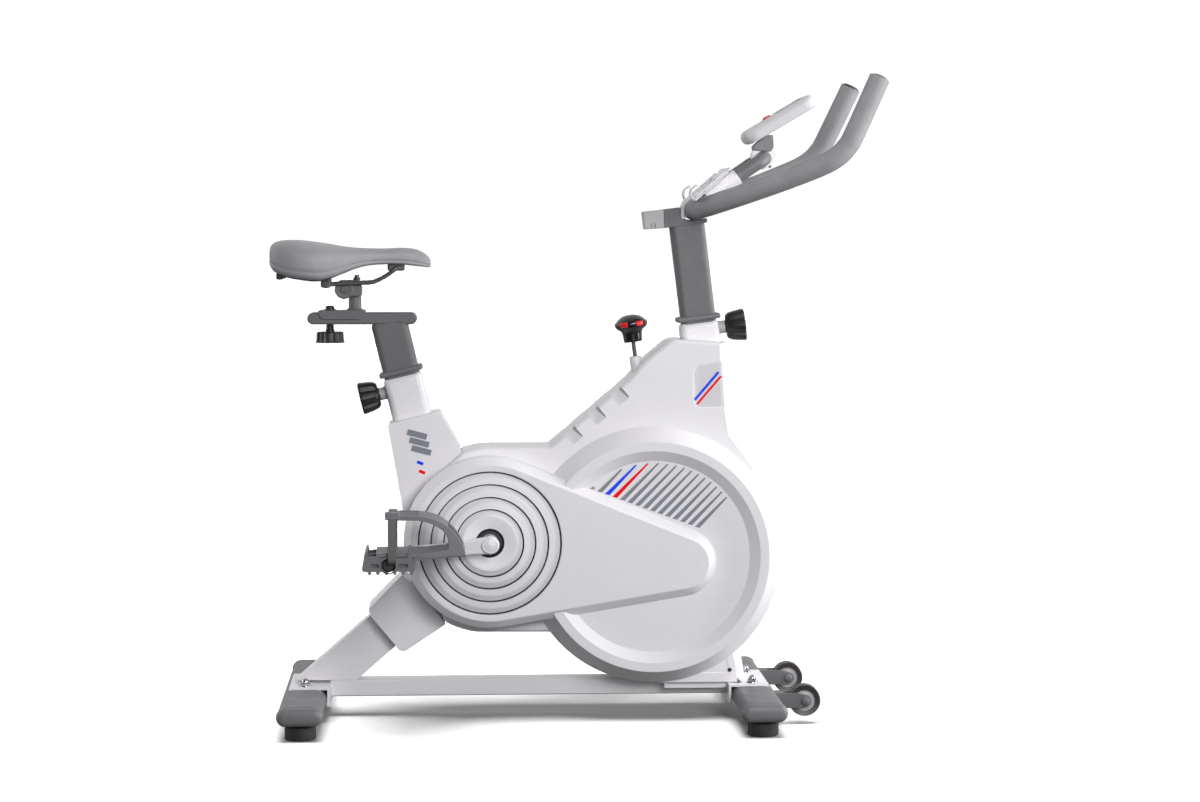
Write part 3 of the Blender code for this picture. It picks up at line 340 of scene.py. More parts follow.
def rod(name, start, end, radius, mat, body="frame", steps=32, bevel=0.0008):
    start, end = Vector(start), Vector(end)
    span = (end - start).length
    edge = min(bevel, radius * 0.4)
    shape = [(0, 0), (radius - edge, 0), (radius, edge), (radius, span - edge), (radius - edge, span),
             (0, span)]
    return lathe(name, shape, start, end - start, mat, body, steps, 50)


def box_mesh(low, high, at=Matrix.Identity(4)):
    low, high = Vector(low), Vector(high)
    size, mid = high - low, (low + high) / 2
    bm = bmesh.new()
    bmesh.ops.create_cube(bm, size=1, matrix=at @ Matrix.Translation(mid) @ Matrix.Diagonal((*size, 1)))
    return bm


def block(name, low, high, mat, body="frame", bevel=0.002, segments=3, at=Matrix.Identity(4)):
    return soften(to_object(name, box_mesh(low, high, at), mat, body), bevel, segments)


def both_ways(half):
    """Profile that is the same on both sides of its middle plane."""
    return half + [(r, -h) for r, h in reversed(half) if h]


def across(side, inner, outer):
    """The two y limits of something on one side, lowest first."""
    return sorted((side * inner, side * outer))


def hexagon(radius, turn=0, centre=(0, 0)):
    return arc(centre, radius, turn, turn + 300, 5)


def face_edges(bm, y):
    """Edges that lie wholly in the plane at y."""
    return [e for e in bm.edges if all(abs(v.co.y - y) < 1e-6 for v in e.verts)]


def skin(bm, rings, loop=False, capped=True):
    """Bridge rings of vertices; a loop closes on itself, an open run gets end faces."""
    for a, b in list(zip(rings, rings[1:])) + ([(rings[-1], rings[0])] if loop else []):
        for i in range(len(a)):
            j = (i + 1) % len(a)
            bm.faces.new((a[i], a[j], b[j], b[i]))
    if capped and not loop:
        bm.faces.new(rings[0][::-1])
        bm.faces.new(rings[-1])


def ringed_mesh(levels, count, radius_at, place):
    """Stack of rings about an axis, with the radius set by level and position round it."""
    bm = bmesh.new()
    rings = []
    for level in levels:
        ring = []
        for i in range(count):
            a = 2 * math.pi * i / count
            r = radius_at(level, i, a)
            ring.append(bm.verts.new(place @ Vector((r * math.cos(a), r * math.sin(a), level[1]))))
        rings.append(ring)
    skin(bm, rings)
    return bm


def catmull(p0, p1, p2, p3, t):
    """Point at share t between p1 and p2 on a Catmull-Rom curve."""
    return 0.5 * ((2 * p1) + (p2 - p0) * t + (2 * p0 - 5 * p1 + 4 * p2 - p3) * t ** 2
                  + (3 * p1 - p0 - 3 * p2 + p3) * t ** 3)


def smooth_path(points, steps=6, closed=False):
    """Catmull-Rom points through a given path."""
    points = [Vector(p) for p in points]
    count = len(points)
    out = []
    for i in range(count if closed else count - 1):
        if closed:
            near = [points[(i + k) % count] for k in (-1, 0, 1, 2)]
        else:
            near = [points[min(count - 1, max(0, i + k))] for k in (-1, 0, 1, 2)]
        out += [catmull(*near, k / steps) for k in range(steps)]
    return out if closed else out + [points[-1]]


def tube_mesh(path, radius, sides=24, closed=False):
    """Sweep a circle along points, keeping it untwisted."""
    bm = bmesh.new()
    count = len(path)
    rings = []
    normal = None
    for i, p in enumerate(path):
        if closed:
            ahead = (path[(i + 1) % count] - path[i - 1]).normalized()
        else:
            ahead = (path[min(count - 1, i + 1)] - path[max(0, i - 1)]).normalized()
        if normal is None:
            normal = ahead.orthogonal().normalized()
        normal = (normal - ahead * normal.dot(ahead)).normalized()
        other = ahead.cross(normal)
        rings.append([bm.verts.new(p + normal * (radius * math.cos(a)) + other * (radius * math.sin(a)))
                      for a in (2 * math.pi * k / sides for k in range(sides))])
    skin(bm, rings, closed)
    return bm


def tube(name, path, radius, mat, body="frame", sides=24, closed=False, bevel=0.0):
    obj = to_object(name, tube_mesh(path, radius, sides, closed), mat, body, 50)
    return soften(obj, bevel, 3, 50) if bevel else obj


def carve(obj, cutters, smooth=35):
    """Cut shapes out of a piece and keep the result as its mesh."""
    for bm in cutters:
        bmesh.ops.recalc_face_normals(bm, faces=bm.faces)
        cutter = mesh_object("cutter", bm)
        mod = obj.modifiers.new("cut", "BOOLEAN")
        mod.object = cutter
        mod.operation = "DIFFERENCE"
        mod.solver = "EXACT"
        while obj.modifiers[0] != mod:
            obj.modifiers.move(len(obj.modifiers) - 1, 0)
        others = [m for m in obj.modifiers if m != mod]
        for m in others:
            m.show_viewport = False
        bpy.context.view_layer.update()
        mesh = bpy.data.meshes.new_from_object(obj.evaluated_get(bpy.context.evaluated_depsgraph_get()))
        obj.modifiers.remove(mod)
        for m in others:
            m.show_viewport = True
        old, obj.data = obj.data, mesh
        bpy.data.meshes.remove(old)
        bpy.data.objects.remove(cutter)
    smooth_shade(obj, smooth)
    return obj


def on_line(line, tilt, height):
    x0, z0 = line
    return Vector((x0 - (height - z0) * math.tan(tilt), 0, height))


def bar_mesh(line, tilt, z0, z1, depth, width):
    a, b = on_line(line, tilt, z0), on_line(line, tilt, z1)
    at = Matrix.Translation(a) @ Matrix.Rotation(-tilt, 4, "Y")
    return box_mesh((-depth / 2, -width / 2, 0), (depth / 2, width / 2, (b - a).length), at)


def paint(node, mat, bevel=0.0, segments=2):
    """Keep a CAD node's shape, with a better material and softened edges."""
    obj = NODES[node]
    obj.data.materials.clear()
    obj.data.materials.append(mat)
    smooth_shade(obj, 32)
    if bevel:
        soften(obj, bevel, segments)
    return obj


# ---------------------------------------------------------------- base and frame tubes

def bar_outline(x, half_x, half_z, steps=10):
    """Flat oval section of a floor bar, as (x, z) points."""
    r = half_z
    return (arc((x + half_x - r, BAR_Z), r, -90, 90, steps) + arc((x - half_x + r, BAR_Z), r, 90, 270, steps))


def end_cap(name, node, x, side):
    """Moulded cap with a full, domed nose over the end of a floor bar."""
    low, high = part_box(node)
    inner, outer = (high.y, low.y) if side == RIGHT else (low.y, high.y)
    bm = bmesh.new()
    rings = []
    for t in (0.0, 0.35, 0.55, 0.72, 0.86, 0.95, 1.0):
        dome = max(0.0, (t - 0.35) / 0.65)
        shrink = 0.0092 * (1 - math.sqrt(max(0.0, 1 - dome ** 2)))
        y = inner + (outer - inner) * t
        outline = bar_outline(x, 0.0372 - shrink, 0.0152 - shrink)
        rings.append([bm.verts.new((px, y, pz)) for px, pz in outline])
    skin(bm, rings)
    obj = to_object(name, bm, PLASTIC_GREY, "frame", 40)
    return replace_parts(obj, node)


RIB = 0.0007


def foot(name, node, x, y):
    """Levelling foot: ribbed rubber puck under a threaded stem."""
    levels = ((0.0215, 0.0, 0), (0.0244, 0.0014, 0), (0.025, 0.0034, RIB), (0.025, 0.019, RIB),
              (0.0243, 0.0214, 0), (0.022, 0.0226, 0), (0.0105, 0.0228, 0), (0.01, 0.0245, 0),
              (0.0042, 0.0245, 0), (0.0042, 0.034, 0))
    bm = ringed_mesh(levels, 96, lambda level, i, a: level[0] - (0 if i % 3 else level[2]),
                     Matrix.Translation((x, y, 0)))
    obj = to_object(name, bm, RUBBER, node, 28)
    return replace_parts(obj, node)


def floor_bolt(name, node, x, y):
    """Dome nut on a washer, at the floor bar's mount plate."""
    at = (x, y, 0.058)
    washer = [(0.0046, 0.0002), (0.0092, 0.0002), (0.0095, 0.0006), (0.0092, 0.0016), (0.0046, 0.0016)]
    lathe(name + "_washer", washer, at, UP, BOLT, "frame", 40)
    bm = bmesh.new()
    corners = hexagon(0.0066 / math.cos(math.radians(30)), 15, (x, y))
    skin(bm, [[bm.verts.new((hx, hy, at[2] + h)) for hx, hy in corners] for h in (0.0016, 0.0076)])
    nut = soften(to_object(name + "_nut", bm, BOLT, "frame", 30), 0.0006, 2)
    dome = [(0.006 * math.cos(math.radians(a)), 0.0076 + 0.0055 * math.sin(math.radians(a)))
            for a in (0, 20, 40, 60, 78)]
    lathe(name + "_dome", [(0.0062, 0.0074)] + dome + [(0, 0.0131)], at, UP, BOLT, "frame", 40)
    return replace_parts(nut, node)


def transport_wheel(name, node, y):
    centre = Vector((FRONT_X + 0.0795, y, 0.0395))
    tyre = [(0.0175, -0.0095), (0.0228, -0.0104), (0.0246, -0.0108), (0.0256, -0.01), (0.026, -0.0086),
            (0.026, -0.0058), (0.0254, -0.0046), (0.024, -0.004), (0.0236, 0.0)]
    obj = lathe(name, both_ways(tyre), centre, SIDE, TYRE, node, 64)
    hub = [(0.0046, -0.0112), (0.0085, -0.0112), (0.0095, -0.0104), (0.01, -0.007), (0.012, -0.0058),
           (0.0165, -0.0052), (0.0192, -0.0064), (0.0206, -0.0098), (0.0226, -0.01)]
    lathe(name + "_hub", both_ways(hub), centre, SIDE, PALE_GREY, node, 48)
    dome = [(0, -0.0004), (0.0074, -0.0004), (0.0076, 0.0006), (0.007, 0.002), (0.0054, 0.0032),
            (0.003, 0.0039), (0, 0.0041)]
    for side in (RIGHT, LEFT):
        start = centre + SIDE * (side * 0.0156)
        lathe(name + "_axle_cap_" + WORDS[side], dome, start, SIDE * side, STEEL_GREY, "frame", 40)
    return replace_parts(obj, node)


def build_base():
    for name, x in (("rear", REAR_X), ("front", FRONT_X)):
        bar_obj = plate(name + "_bar", bar_outline(x, 0.0358, 0.0157), -0.246, 0.246, STEEL_GREY)
        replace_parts(bar_obj, name + "_stabiliser")
        for side in (RIGHT, LEFT):
            word = WORDS[side]
            end_cap(f"{name}_end_cap_{word}", f"{name}_cap_{word}", x, side)
            foot(f"{name}_puck_{word}", f"{name}_foot_{word}", x, side * 0.225)
            floor_bolt(f"{name}_fixing_{word}", f"{name}_bolt_{word}", x, side * 0.055)
    ear = [(0.028, 0.028), (0.07, 0.0275), (0.0895, 0.033), (0.0895, 0.0465), (0.07, 0.0525), (0.028, 0.053)]
    ear = rounded([(FRONT_X + x, z) for x, z in ear], 0.006)
    for side in (RIGHT, LEFT):
        y = side * 0.12
        for k, letter in ((-1, "a"), (1, "b")):
            plate(f"wheel_ear_{WORDS[side]}_{letter}", ear, y + k * 0.0125, y + k * 0.0155, STEEL_GREY,
                  "frame", 0.0007, 2)
        block("wheel_web_" + WORDS[side], (FRONT_X + 0.028, y - 0.0138, 0.03),
              (FRONT_X + 0.046, y + 0.0138, 0.0522), STEEL_GREY, "frame", 0.002)
        transport_wheel("roller_" + WORDS[side], "transport_wheel_" + WORDS[side], y)


def build_fork():
    """Nose web with a chamfered front, side flanges and their screws."""
    half = 0.0568
    web = [(0.244, 0.155), (0.264, 0.15), (0.2745, 0.124), (0.285, 0.064), (0.2845, 0.0592), (0.26, 0.0592)]
    bm = plate_mesh(web, -half, half)
    front = [e for e in bm.edges if all(abs(abs(v.co.y) - half) < 1e-6 and v.co.x > 0.262 for v in e.verts)]
    bmesh.ops.bevel(bm, geom=front, offset=0.0125, segments=1, affect="EDGES")
    soften(to_object("fork_nose", bm, PAINT, "frame", 20), 0.0012, 2, 20)
    flange = [(0.13, 0.076), (0.131, 0.065), (0.14, 0.0586), (0.264, 0.0586), (0.264, 0.076)]
    flange = rounded(flange, [0, 0.004, 0.006, 0, 0], 4)
    for side in (RIGHT, LEFT):
        plate("fork_flange_" + WORDS[side], flange, side * 0.03, side * 0.0566, PAINT, "frame", 0.0016, 3)
    screw = [(0.0034, 0.001), (0.003, 0.0016), (0.002, 0.0019), (0, 0.002), (0, 0.0), (0.0034, 0.0)]
    for side in (RIGHT, LEFT):
        lathe("fork_screw_" + WORDS[side], screw, (0.2585, side * 0.0564, 0.08), SIDE * side, BLACK,
              "frame", 32)


def build_frame_tubes():
    for node in ("floor_rail", "flywheel_fork"):
        paint(node, PAINT, 0.0012, 3)
    paint("rear_strut", PAINT, 0.0045, 4)
    build_fork()
    for node, mat, bevel in (("bottom_bracket", PAINT, 0), ("main_tube", PAINT, 0), ("crank_axle", STEEL, 0),
                             ("flywheel", IRON, 0), ("drive_belt", BELT, 0), ("brake_pad", FELT, 0.0008)):
        paint(node, mat, bevel)
    # sockets first, then the collars that close them
    for name, node, line, tilt, z0, z1, depth, width, mat, bevel, segments, slot in (
            ("seat_socket", "seat_tube", SEAT_LINE, SEAT_TILT, 0.33, 0.572, 0.065, 0.045,
             PAINT, 0.0105, 6, "frame_white"),
            ("head_socket", "head_tube", HEAD_LINE, HEAD_TILT, 0.5, 0.66, 0.066, 0.045,
             PAINT, 0.0105, 6, "frame_white"),
            ("seat_collar", "seat_tube_collar", SEAT_LINE, SEAT_TILT, 0.5728, 0.5813, 0.0735, 0.053,
             PLASTIC_GREY, 0.0036, 4, "cap_grey"),
            ("head_collar", "head_tube_collar", HEAD_LINE, HEAD_TILT, 0.6608, 0.6693, 0.0735, 0.053,
             PLASTIC_GREY, 0.0036, 4, "cap_grey")):
        obj = to_object(name, bar_mesh(line, tilt, z0, z1, depth, width), mat, "frame")
        soften(obj, bevel, segments)
        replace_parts(obj, node)
    boss = [(0.0053, 0), (0.0118, 0), (0.0112, 0.0035), (0.0105, 0.005), (0.0105, 0.0118), (0.0098, 0.0126),
            (0.0053, 0.0126)]
    for name, line, tilt, z, front in (("seat_boss", SEAT_LINE, SEAT_TILT, 0.5485, -1),
                                       ("head_boss", HEAD_LINE, HEAD_TILT, 0.6445, 1)):
        out = facing(tilt, front)
        lathe(name, boss, on_line(line, tilt, z) + out * 0.031, out, PALE_GREY, "frame", 40)


# ---------------------------------------------------------------- shells

SHELL_Y = 0.06
SLOPE_START, SLOPE_END = (-0.041, 0.453), (0.092, 0.566)


def shell_points():
    rear = arc((CRANK.x, CRANK.z), 0.154, 262, 242, 6) + arc((CRANK.x, CRANK.z), 0.139, 232, 128, 24)
    hump = rounded([(-0.2, 0.425), (-0.186, 0.446), (-0.156, 0.453), (-0.041, 0.453), (0.092, 0.566),
                    (0.116, 0.594), (0.161, 0.631), (0.258, 0.624), (0.26, 0.598), (0.266, 0.529),
                    (0.273, 0.482), (0.299, 0.449), (0.313, 0.429), (0.32, 0.362)],
                   [0, 0.006, 0.012, 0.002, 0.004, 0.006, 0.01, 0.006, 0.01, 0.02, 0.02, 0.02, 0.02, 0])[1:]
    return rear + hump + [(0.32, 0.24), (0.06, 0.145)]


def seat_channel():
    """Square run inside the mouldings for the lowered seat post."""
    return bar_mesh(SEAT_LINE, SEAT_TILT, 0.3, 0.6, 0.064, 0.044)


def facing(tilt, front):
    """Direction square to a tilted post, forwards or backwards."""
    return Vector((front * math.cos(tilt), 0, front * math.sin(tilt)))


def shell_half(side):
    """One moulded half: deep rounded rim outside, flat at the joint line."""
    bm = plate_mesh(shell_points(), side * 0.0002, side * SHELL_Y)
    bmesh.ops.bevel(bm, geom=face_edges(bm, side * SHELL_Y), offset=0.0135, segments=6, profile=0.42,
                    affect="EDGES", clamp_overlap=True)
    # darker plates in the pockets and the badge recess: painted shade
    pocket_shade_pads(side)
    badge_shade_panel(side)
    obj = to_object("shell_" + WORDS[side], bm, SHELL, "frame", 28)
    cutters = [bar_mesh(HEAD_LINE, HEAD_TILT, 0.6, 0.7, 0.0675, 0.0472), seat_channel()]
    cutters += pocket_cutters(side) + [badge_cutter(side), facet_cutter(side)]
    carve(obj, cutters, smooth=28)
    even_normals(obj)
    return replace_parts(obj, "shroud_" + WORDS[side])


def pocket_frames(side):
    """Places of the three pockets along the sloping spine."""
    a, b = Vector((SLOPE_START[0], 0, SLOPE_START[1])), Vector((SLOPE_END[0], 0, SLOPE_END[1]))
    along = (b - a).normalized()
    at = Matrix((along, Vector((-along.z, 0, along.x)), SIDE * side)).transposed().to_4x4()
    for travel in (0.0425, 0.0929, 0.143):
        at.translation = a + along * travel + SIDE * (side * (SHELL_Y - 0.0125))
        yield at.copy()


def pocket_cutters(side):
    """Square pockets pressed into the shoulder, open at the sloping spine."""
    out = []
    for at in pocket_frames(side):
        bm = box_mesh((-0.011, -0.0222, 0.0), (0.011, 0.02, 0.03))
        for v in bm.verts:
            if v.co.z < 0.001:
                v.co.z = 0.0085 if v.co.y < 0 else -0.008
        bmesh.ops.transform(bm, matrix=at, verts=bm.verts)
        corners = [e for e in bm.edges if abs((e.verts[1].co - e.verts[0].co).normalized().y) > 0.9]
        bmesh.ops.bevel(bm, geom=corners, offset=0.0028, segments=3, profile=0.5, affect="EDGES")
        out.append(bm)
    return out


def pocket_shade_pads(side):
    """Painted shade: slightly darker plate on the floor of each pocket."""
    for k, at in enumerate(pocket_frames(side)):
        bm = box_mesh((-0.0104, -0.0215, -0.0012), (0.0104, -0.0012, 0.0008))
        for v in bm.verts:
            v.co.z += 0.0085 - 0.0165 * (v.co.y + 0.0222) / 0.0422
        bmesh.ops.transform(bm, matrix=at, verts=bm.verts)
        soften(to_object(f"pocket_shade_plate_{WORDS[side]}_{k}", bm, RECESS_SHADE, "frame", 30), 0.0005, 2)


def badge_depth(x):
    """The badge panel is deepest at its rear edge and runs out at the front."""
    return 0.0006 + 0.0029 * (0.262 - x) / 0.0665


def badge_cutter(side):
    """Slanted panel pressed into the upper front corner."""
    outline = rounded([(0.1955, 0.578), (0.202, 0.587), (0.28, 0.6005), (0.28, 0.5185), (0.205, 0.517),
                       (0.1975, 0.524)], 0.004)
    bm = plate_mesh(outline, side * SHELL_Y, side * (SHELL_Y + 0.01))
    for v in bm.verts:
        if abs(v.co.y) < SHELL_Y + 0.001:
            v.co.y = side * (SHELL_Y - badge_depth(v.co.x))
    return bm


def badge_shade_panel(side):
    """Painted shade: darker plate that fills the badge recess to just under the face."""
    outline = rounded([(0.1975, 0.577), (0.203, 0.585), (0.24, 0.592), (0.243, 0.5205), (0.2055, 0.5188),
                       (0.199, 0.525)], 0.003)
    bm = plate_mesh(outline, side * (SHELL_Y + 0.0003), side * (SHELL_Y - 0.0015))
    for v in bm.verts:
        v.co.y -= side * badge_depth(v.co.x)
    return to_object("badge_shade_panel_" + WORDS[side], bm, RECESS_SHADE, "frame", 30)


def facet_cutter(side):
    """Flat chamfer that follows the front edge down to the flywheel housing."""
    line = [Vector(p) for p in ((0.2575, 0.655), (0.2665, 0.529), (0.274, 0.48), (0.2995, 0.4475),
                                (0.314, 0.425), (0.321, 0.36))]
    outside, inside = SHELL_Y + 0.01, SHELL_Y - 0.025
    section = ((-0.0333, outside), (0.03, outside), (0.03, inside), (0.0133, inside))
    steps = [(b - a).normalized() for a, b in zip(line, line[1:])]
    bm = bmesh.new()
    rings = []
    for i, point in enumerate(line):
        before, after = steps[max(0, i - 1)], steps[min(i, len(steps) - 1)]
        mitre = Vector((-before.y - after.y, before.x + after.x))
        mitre /= mitre.length * math.sqrt((1 + before.dot(after)) / 2)
        rings.append([bm.verts.new((point.x + mitre.x * out, side * y, point.y + mitre.y * out))
                      for out, y in section])
    skin(bm, rings)
    return bm


def housing(side):
    """Round flywheel housing: conical band, raised rim and dished face."""
    shape = [(0.0, 0.088), (0.1578, 0.088), (0.1584, 0.0882), (0.159, 0.0887), (0.1744, 0.0995),
             (0.175, 0.0999), (0.1757, 0.1), (0.1896, 0.1), (0.1904, 0.0997), (0.1908, 0.099),
             (0.2118, 0.0628), (0.213, 0.06), (0.2135, 0.057), (0.2135, 0.0002), (0.0, 0.0002)]
    obj = lathe("flywheel_housing_" + WORDS[side], shape, WHEEL, SIDE * side, SHELL, "frame", 160, 24)
    low = box_mesh((-0.3, -0.0232, 0.0), (0.6, 0.0232, 0.0645))
    return carve(obj, [low, round_cutter(0.118, 0.087, 0.12, SIDE * side, 96)], smooth=20)


def stripe_field():
    """Slanted vent-like stripes printed on the dished face, tapering upwards."""
    y = -0.0884
    first, last, count = Vector((0.0275, 0.387)), Vector((0.201, 0.323)), 15
    lean = Vector((1, 1)).normalized()
    centre = Vector((WHEEL.x, WHEEL.z))
    for i in range(count):
        foot_at = first.lerp(last, i / (count - 1))
        rel = foot_at - centre
        half_b = rel.dot(lean)
        reach = -half_b + math.sqrt(half_b ** 2 - rel.length_squared + 0.1545 ** 2)
        tip = foot_at + lean * (reach - (0.014 if i == 0 else 0.0))
        wide, thin = 0.004, 0.0012
        outline = [(foot_at.x - wide, foot_at.y), (foot_at.x + wide, foot_at.y - 0.0018),
                   (tip.x + thin, tip.y - 0.0006), (tip.x - thin, tip.y + 0.0006)]
        ink = {2: BLUE_INK, 3: RED_INK}.get(i, GREY_INK)
        plate(f"stripe_{i:02d}", outline, y + 0.0006, y, ink)


def teardrop(lobe, nose, lobe_steps=72):
    a, b = Vector((CRANK.x, CRANK.z)), Vector((0.178, 0.264))
    gap = b - a
    tilt = math.degrees(math.atan2(gap.y, gap.x))
    lean = math.degrees(math.acos((lobe - nose) / gap.length))
    round_back = arc(a, lobe, tilt + lean, tilt + 360 - lean, lobe_steps)
    return round_back + arc(b, nose, tilt - lean, tilt + lean, 24)


COVER_FACE, COVER_BACK = 0.1038, 0.0606
RING_RADII = (0.118, 0.0975, 0.0765, 0.0565)


def round_cutter(radius, low, high, axis, steps):
    """Cylinder about the crank axis."""
    return lathe_mesh([(0, low), (radius, low), (radius, high), (0, high)], CRANK, axis, steps)


def ring_profile(depth, outer=0.118):
    """Stepped rings: each has a sharp drop, a narrow floor and a ramp up to a flat land."""
    step = [(0, 0.0004), (0.0002, 0.014), (0.0022, 0.014), (0.0024, 0.0066), (0.004, 0.0056),
            (0.0085, 0.0024), (0.0105, 0.0013), (0.0118, 0.001)]
    hub = [(0.04, 0.0012), (0.0245, 0.004), (0.0238, 0.0044), (0.0236, 0.0052)]
    rings = [(radius - inward, down) for radius in RING_RADII for inward, down in step]
    return [(outer, depth)] + [(radius, depth - down) for radius, down in rings + hub]


def ringed_disc(name, side, face, outer=0.118):
    back = face - 0.02
    shape = ring_profile(face, outer) + [(0.0236, back), (outer, back)]
    # dark rings in the slits: painted shadow
    groove_shadow_inlay(name + "_groove_shadows", side, face)
    return lathe(name, shape, CRANK, SIDE * side, SHELL, "frame", 144, 24)


def groove_shadow_inlay(name, side, face):
    """Painted shadow: dark rings set in the slit at the foot of every step."""
    whole = bmesh.new()
    for radius in RING_RADII:
        near, far = radius - 0.0001, radius - 0.0023
        section = [(near, face - 0.01), (near, face - 0.0036), (far, face - 0.006), (far, face - 0.01)]
        ring = lathe_mesh(section, CRANK, SIDE * side, 144)
        part = bpy.data.meshes.new(name)
        ring.to_mesh(part)
        whole.from_mesh(part)
        ring.free()
        bpy.data.meshes.remove(part)
    return to_object(name, whole, GROOVE_SHADOW, "frame", 30)


def hub_shade_lining(side, face):
    """Well round the crank axle, lined black: painted shade of the deep recess."""
    shape = [(0.0236, 0.004), (0.0232, 0.0052), (0.0222, 0.0078), (0.02, 0.0092), (0.0146, 0.0092),
             (0.0146, 0.026), (0.0236, 0.026)]
    lathe("hub_shaded_well_" + WORDS[side], [(r, face - down) for r, down in shape], CRANK, SIDE * side, BLACK,
          "frame", 48)


def belt_cover():
    bm = plate_mesh(teardrop(0.1415, 0.0545), -COVER_BACK, -COVER_FACE)
    bmesh.ops.bevel(bm, geom=face_edges(bm, -COVER_FACE), offset=0.0128, segments=1, affect="EDGES")
    obj = to_object("belt_guard", bm, SHELL, "frame", 28)
    carve(obj, [round_cutter(0.118, 0.08, 0.12, -SIDE, 144)], smooth=28)
    soften(obj, 0.0013, 3, 25)
    ringed_disc("belt_guard_rings", RIGHT, COVER_FACE)
    hub_shade_lining(RIGHT, COVER_FACE)
    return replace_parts(obj, "belt_cover")


def left_cover():
    face, back = COVER_FACE, COVER_BACK
    rim = [(0.0236, back), (0.1415, back), (0.1415, face - 0.014), (0.1405, face - 0.0122),
           (0.128, face - 0.0004)]
    shape = [(0.1262, face)] + ring_profile(face, 0.1262) + rim
    obj = lathe("left_disc", shape, CRANK, SIDE, SHELL, "frame", 144, 24)
    hub_shade_lining(LEFT, face)
    # dark rings in the slits: painted shadow
    groove_shadow_inlay("left_disc_groove_shadows", LEFT, face)
    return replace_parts(obj, "crank_cover_left")


def sleeve(name, node, outline, radii):
    """Moulded collar over a tube, hollowed where the crank cover stands."""
    obj = to_object(name, plate_mesh(rounded(outline, radii, 5), -0.046, 0.046), SHELL, "frame", 28)
    carve(obj, [round_cutter(0.1402, -0.1, 0.1, SIDE, 96)], smooth=28)
    soften(obj, 0.0085, 5, 28)
    if name == "seat_sleeve":
        carve(obj, [seat_channel()], smooth=28)
    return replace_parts(obj, node)


def build_shells():
    for side in (RIGHT, LEFT):
        shell_half(side)
        housing(side)
    belt_cover()
    left_cover()
    seat = [(-0.3085, 0.491), (-0.222, 0.5125), (-0.187, 0.447), (-0.2, 0.4), (-0.25, 0.35), (-0.284, 0.33),
            (-0.284, 0.35)]
    sleeve("seat_sleeve", "seat_tube_cover", seat, [0.006, 0.006, 0.004, 0, 0, 0, 0.01])
    strut = [(-0.342, 0.184), (-0.2855, 0.242), (-0.25, 0.208), (-0.214, 0.158), (-0.282, 0.113),
             (-0.29, 0.1145), (-0.338, 0.172)]
    sleeve("strut_sleeve", "strut_cover", strut, [0.004, 0, 0, 0.002, 0.004, 0.004, 0.002])
    stripe_field()


# ---------------------------------------------------------------- cranks and pedals

CRANK_Y = 0.126
PEDALS = {RIGHT: Vector((-0.304, -0.2025, 0.2815)), LEFT: Vector((0.022, 0.2025, 0.3165))}
BODIES = {RIGHT: "pedal_right", LEFT: "pedal_left"}


def crank_arm(side):
    """Tapered forged arm with round eyes, rolled edges and a capped axle end."""
    pedal = PEDALS[side]
    a, b = Vector((CRANK.x, CRANK.z)), Vector((pedal.x, pedal.z))
    gap = b - a
    heading = math.degrees(math.atan2(gap.y, gap.x))
    waist, flank = a + gap * 0.18, Vector((gap.y, -gap.x)).normalized() * 0.0118
    outline = (arc(a, 0.015, heading + 78, heading + 282, 20) + [tuple(waist + flank)]
               + arc(b, 0.012, heading - 84, heading + 84, 20) + [tuple(waist - flank)])
    y0, y1 = side * (CRANK_Y - 0.006), side * (CRANK_Y + 0.006)
    obj = plate("crank_arm_" + WORDS[side], outline, y0, y1, ARM_PAINT, "crankset", 0.0022, 4)
    boss = [(0, -0.0135), (0.0132, -0.0135), (0.0138, -0.0128), (0.014, 0.0085), (0.0134, 0.01),
            (0.0124, 0.0106), (0.0118, 0.0106), (0.0114, 0.0099), (0.009, 0.0103), (0.005, 0.0109),
            (0, 0.011)]
    end = [(0, -0.0085), (0.01, -0.0085), (0.0105, -0.008), (0.0105, 0.0076), (0.0098, 0.0084), (0, 0.0084)]
    for name, shape, at, steps in (("crank_eye_", boss, CRANK, 48), ("pedal_eye_", end, pedal, 40)):
        lathe(name + WORDS[side], shape, (at.x, side * CRANK_Y, at.z), SIDE * side, ARM_PAINT, "crankset",
              steps)
    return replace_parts(obj, "crank_" + WORDS[side])


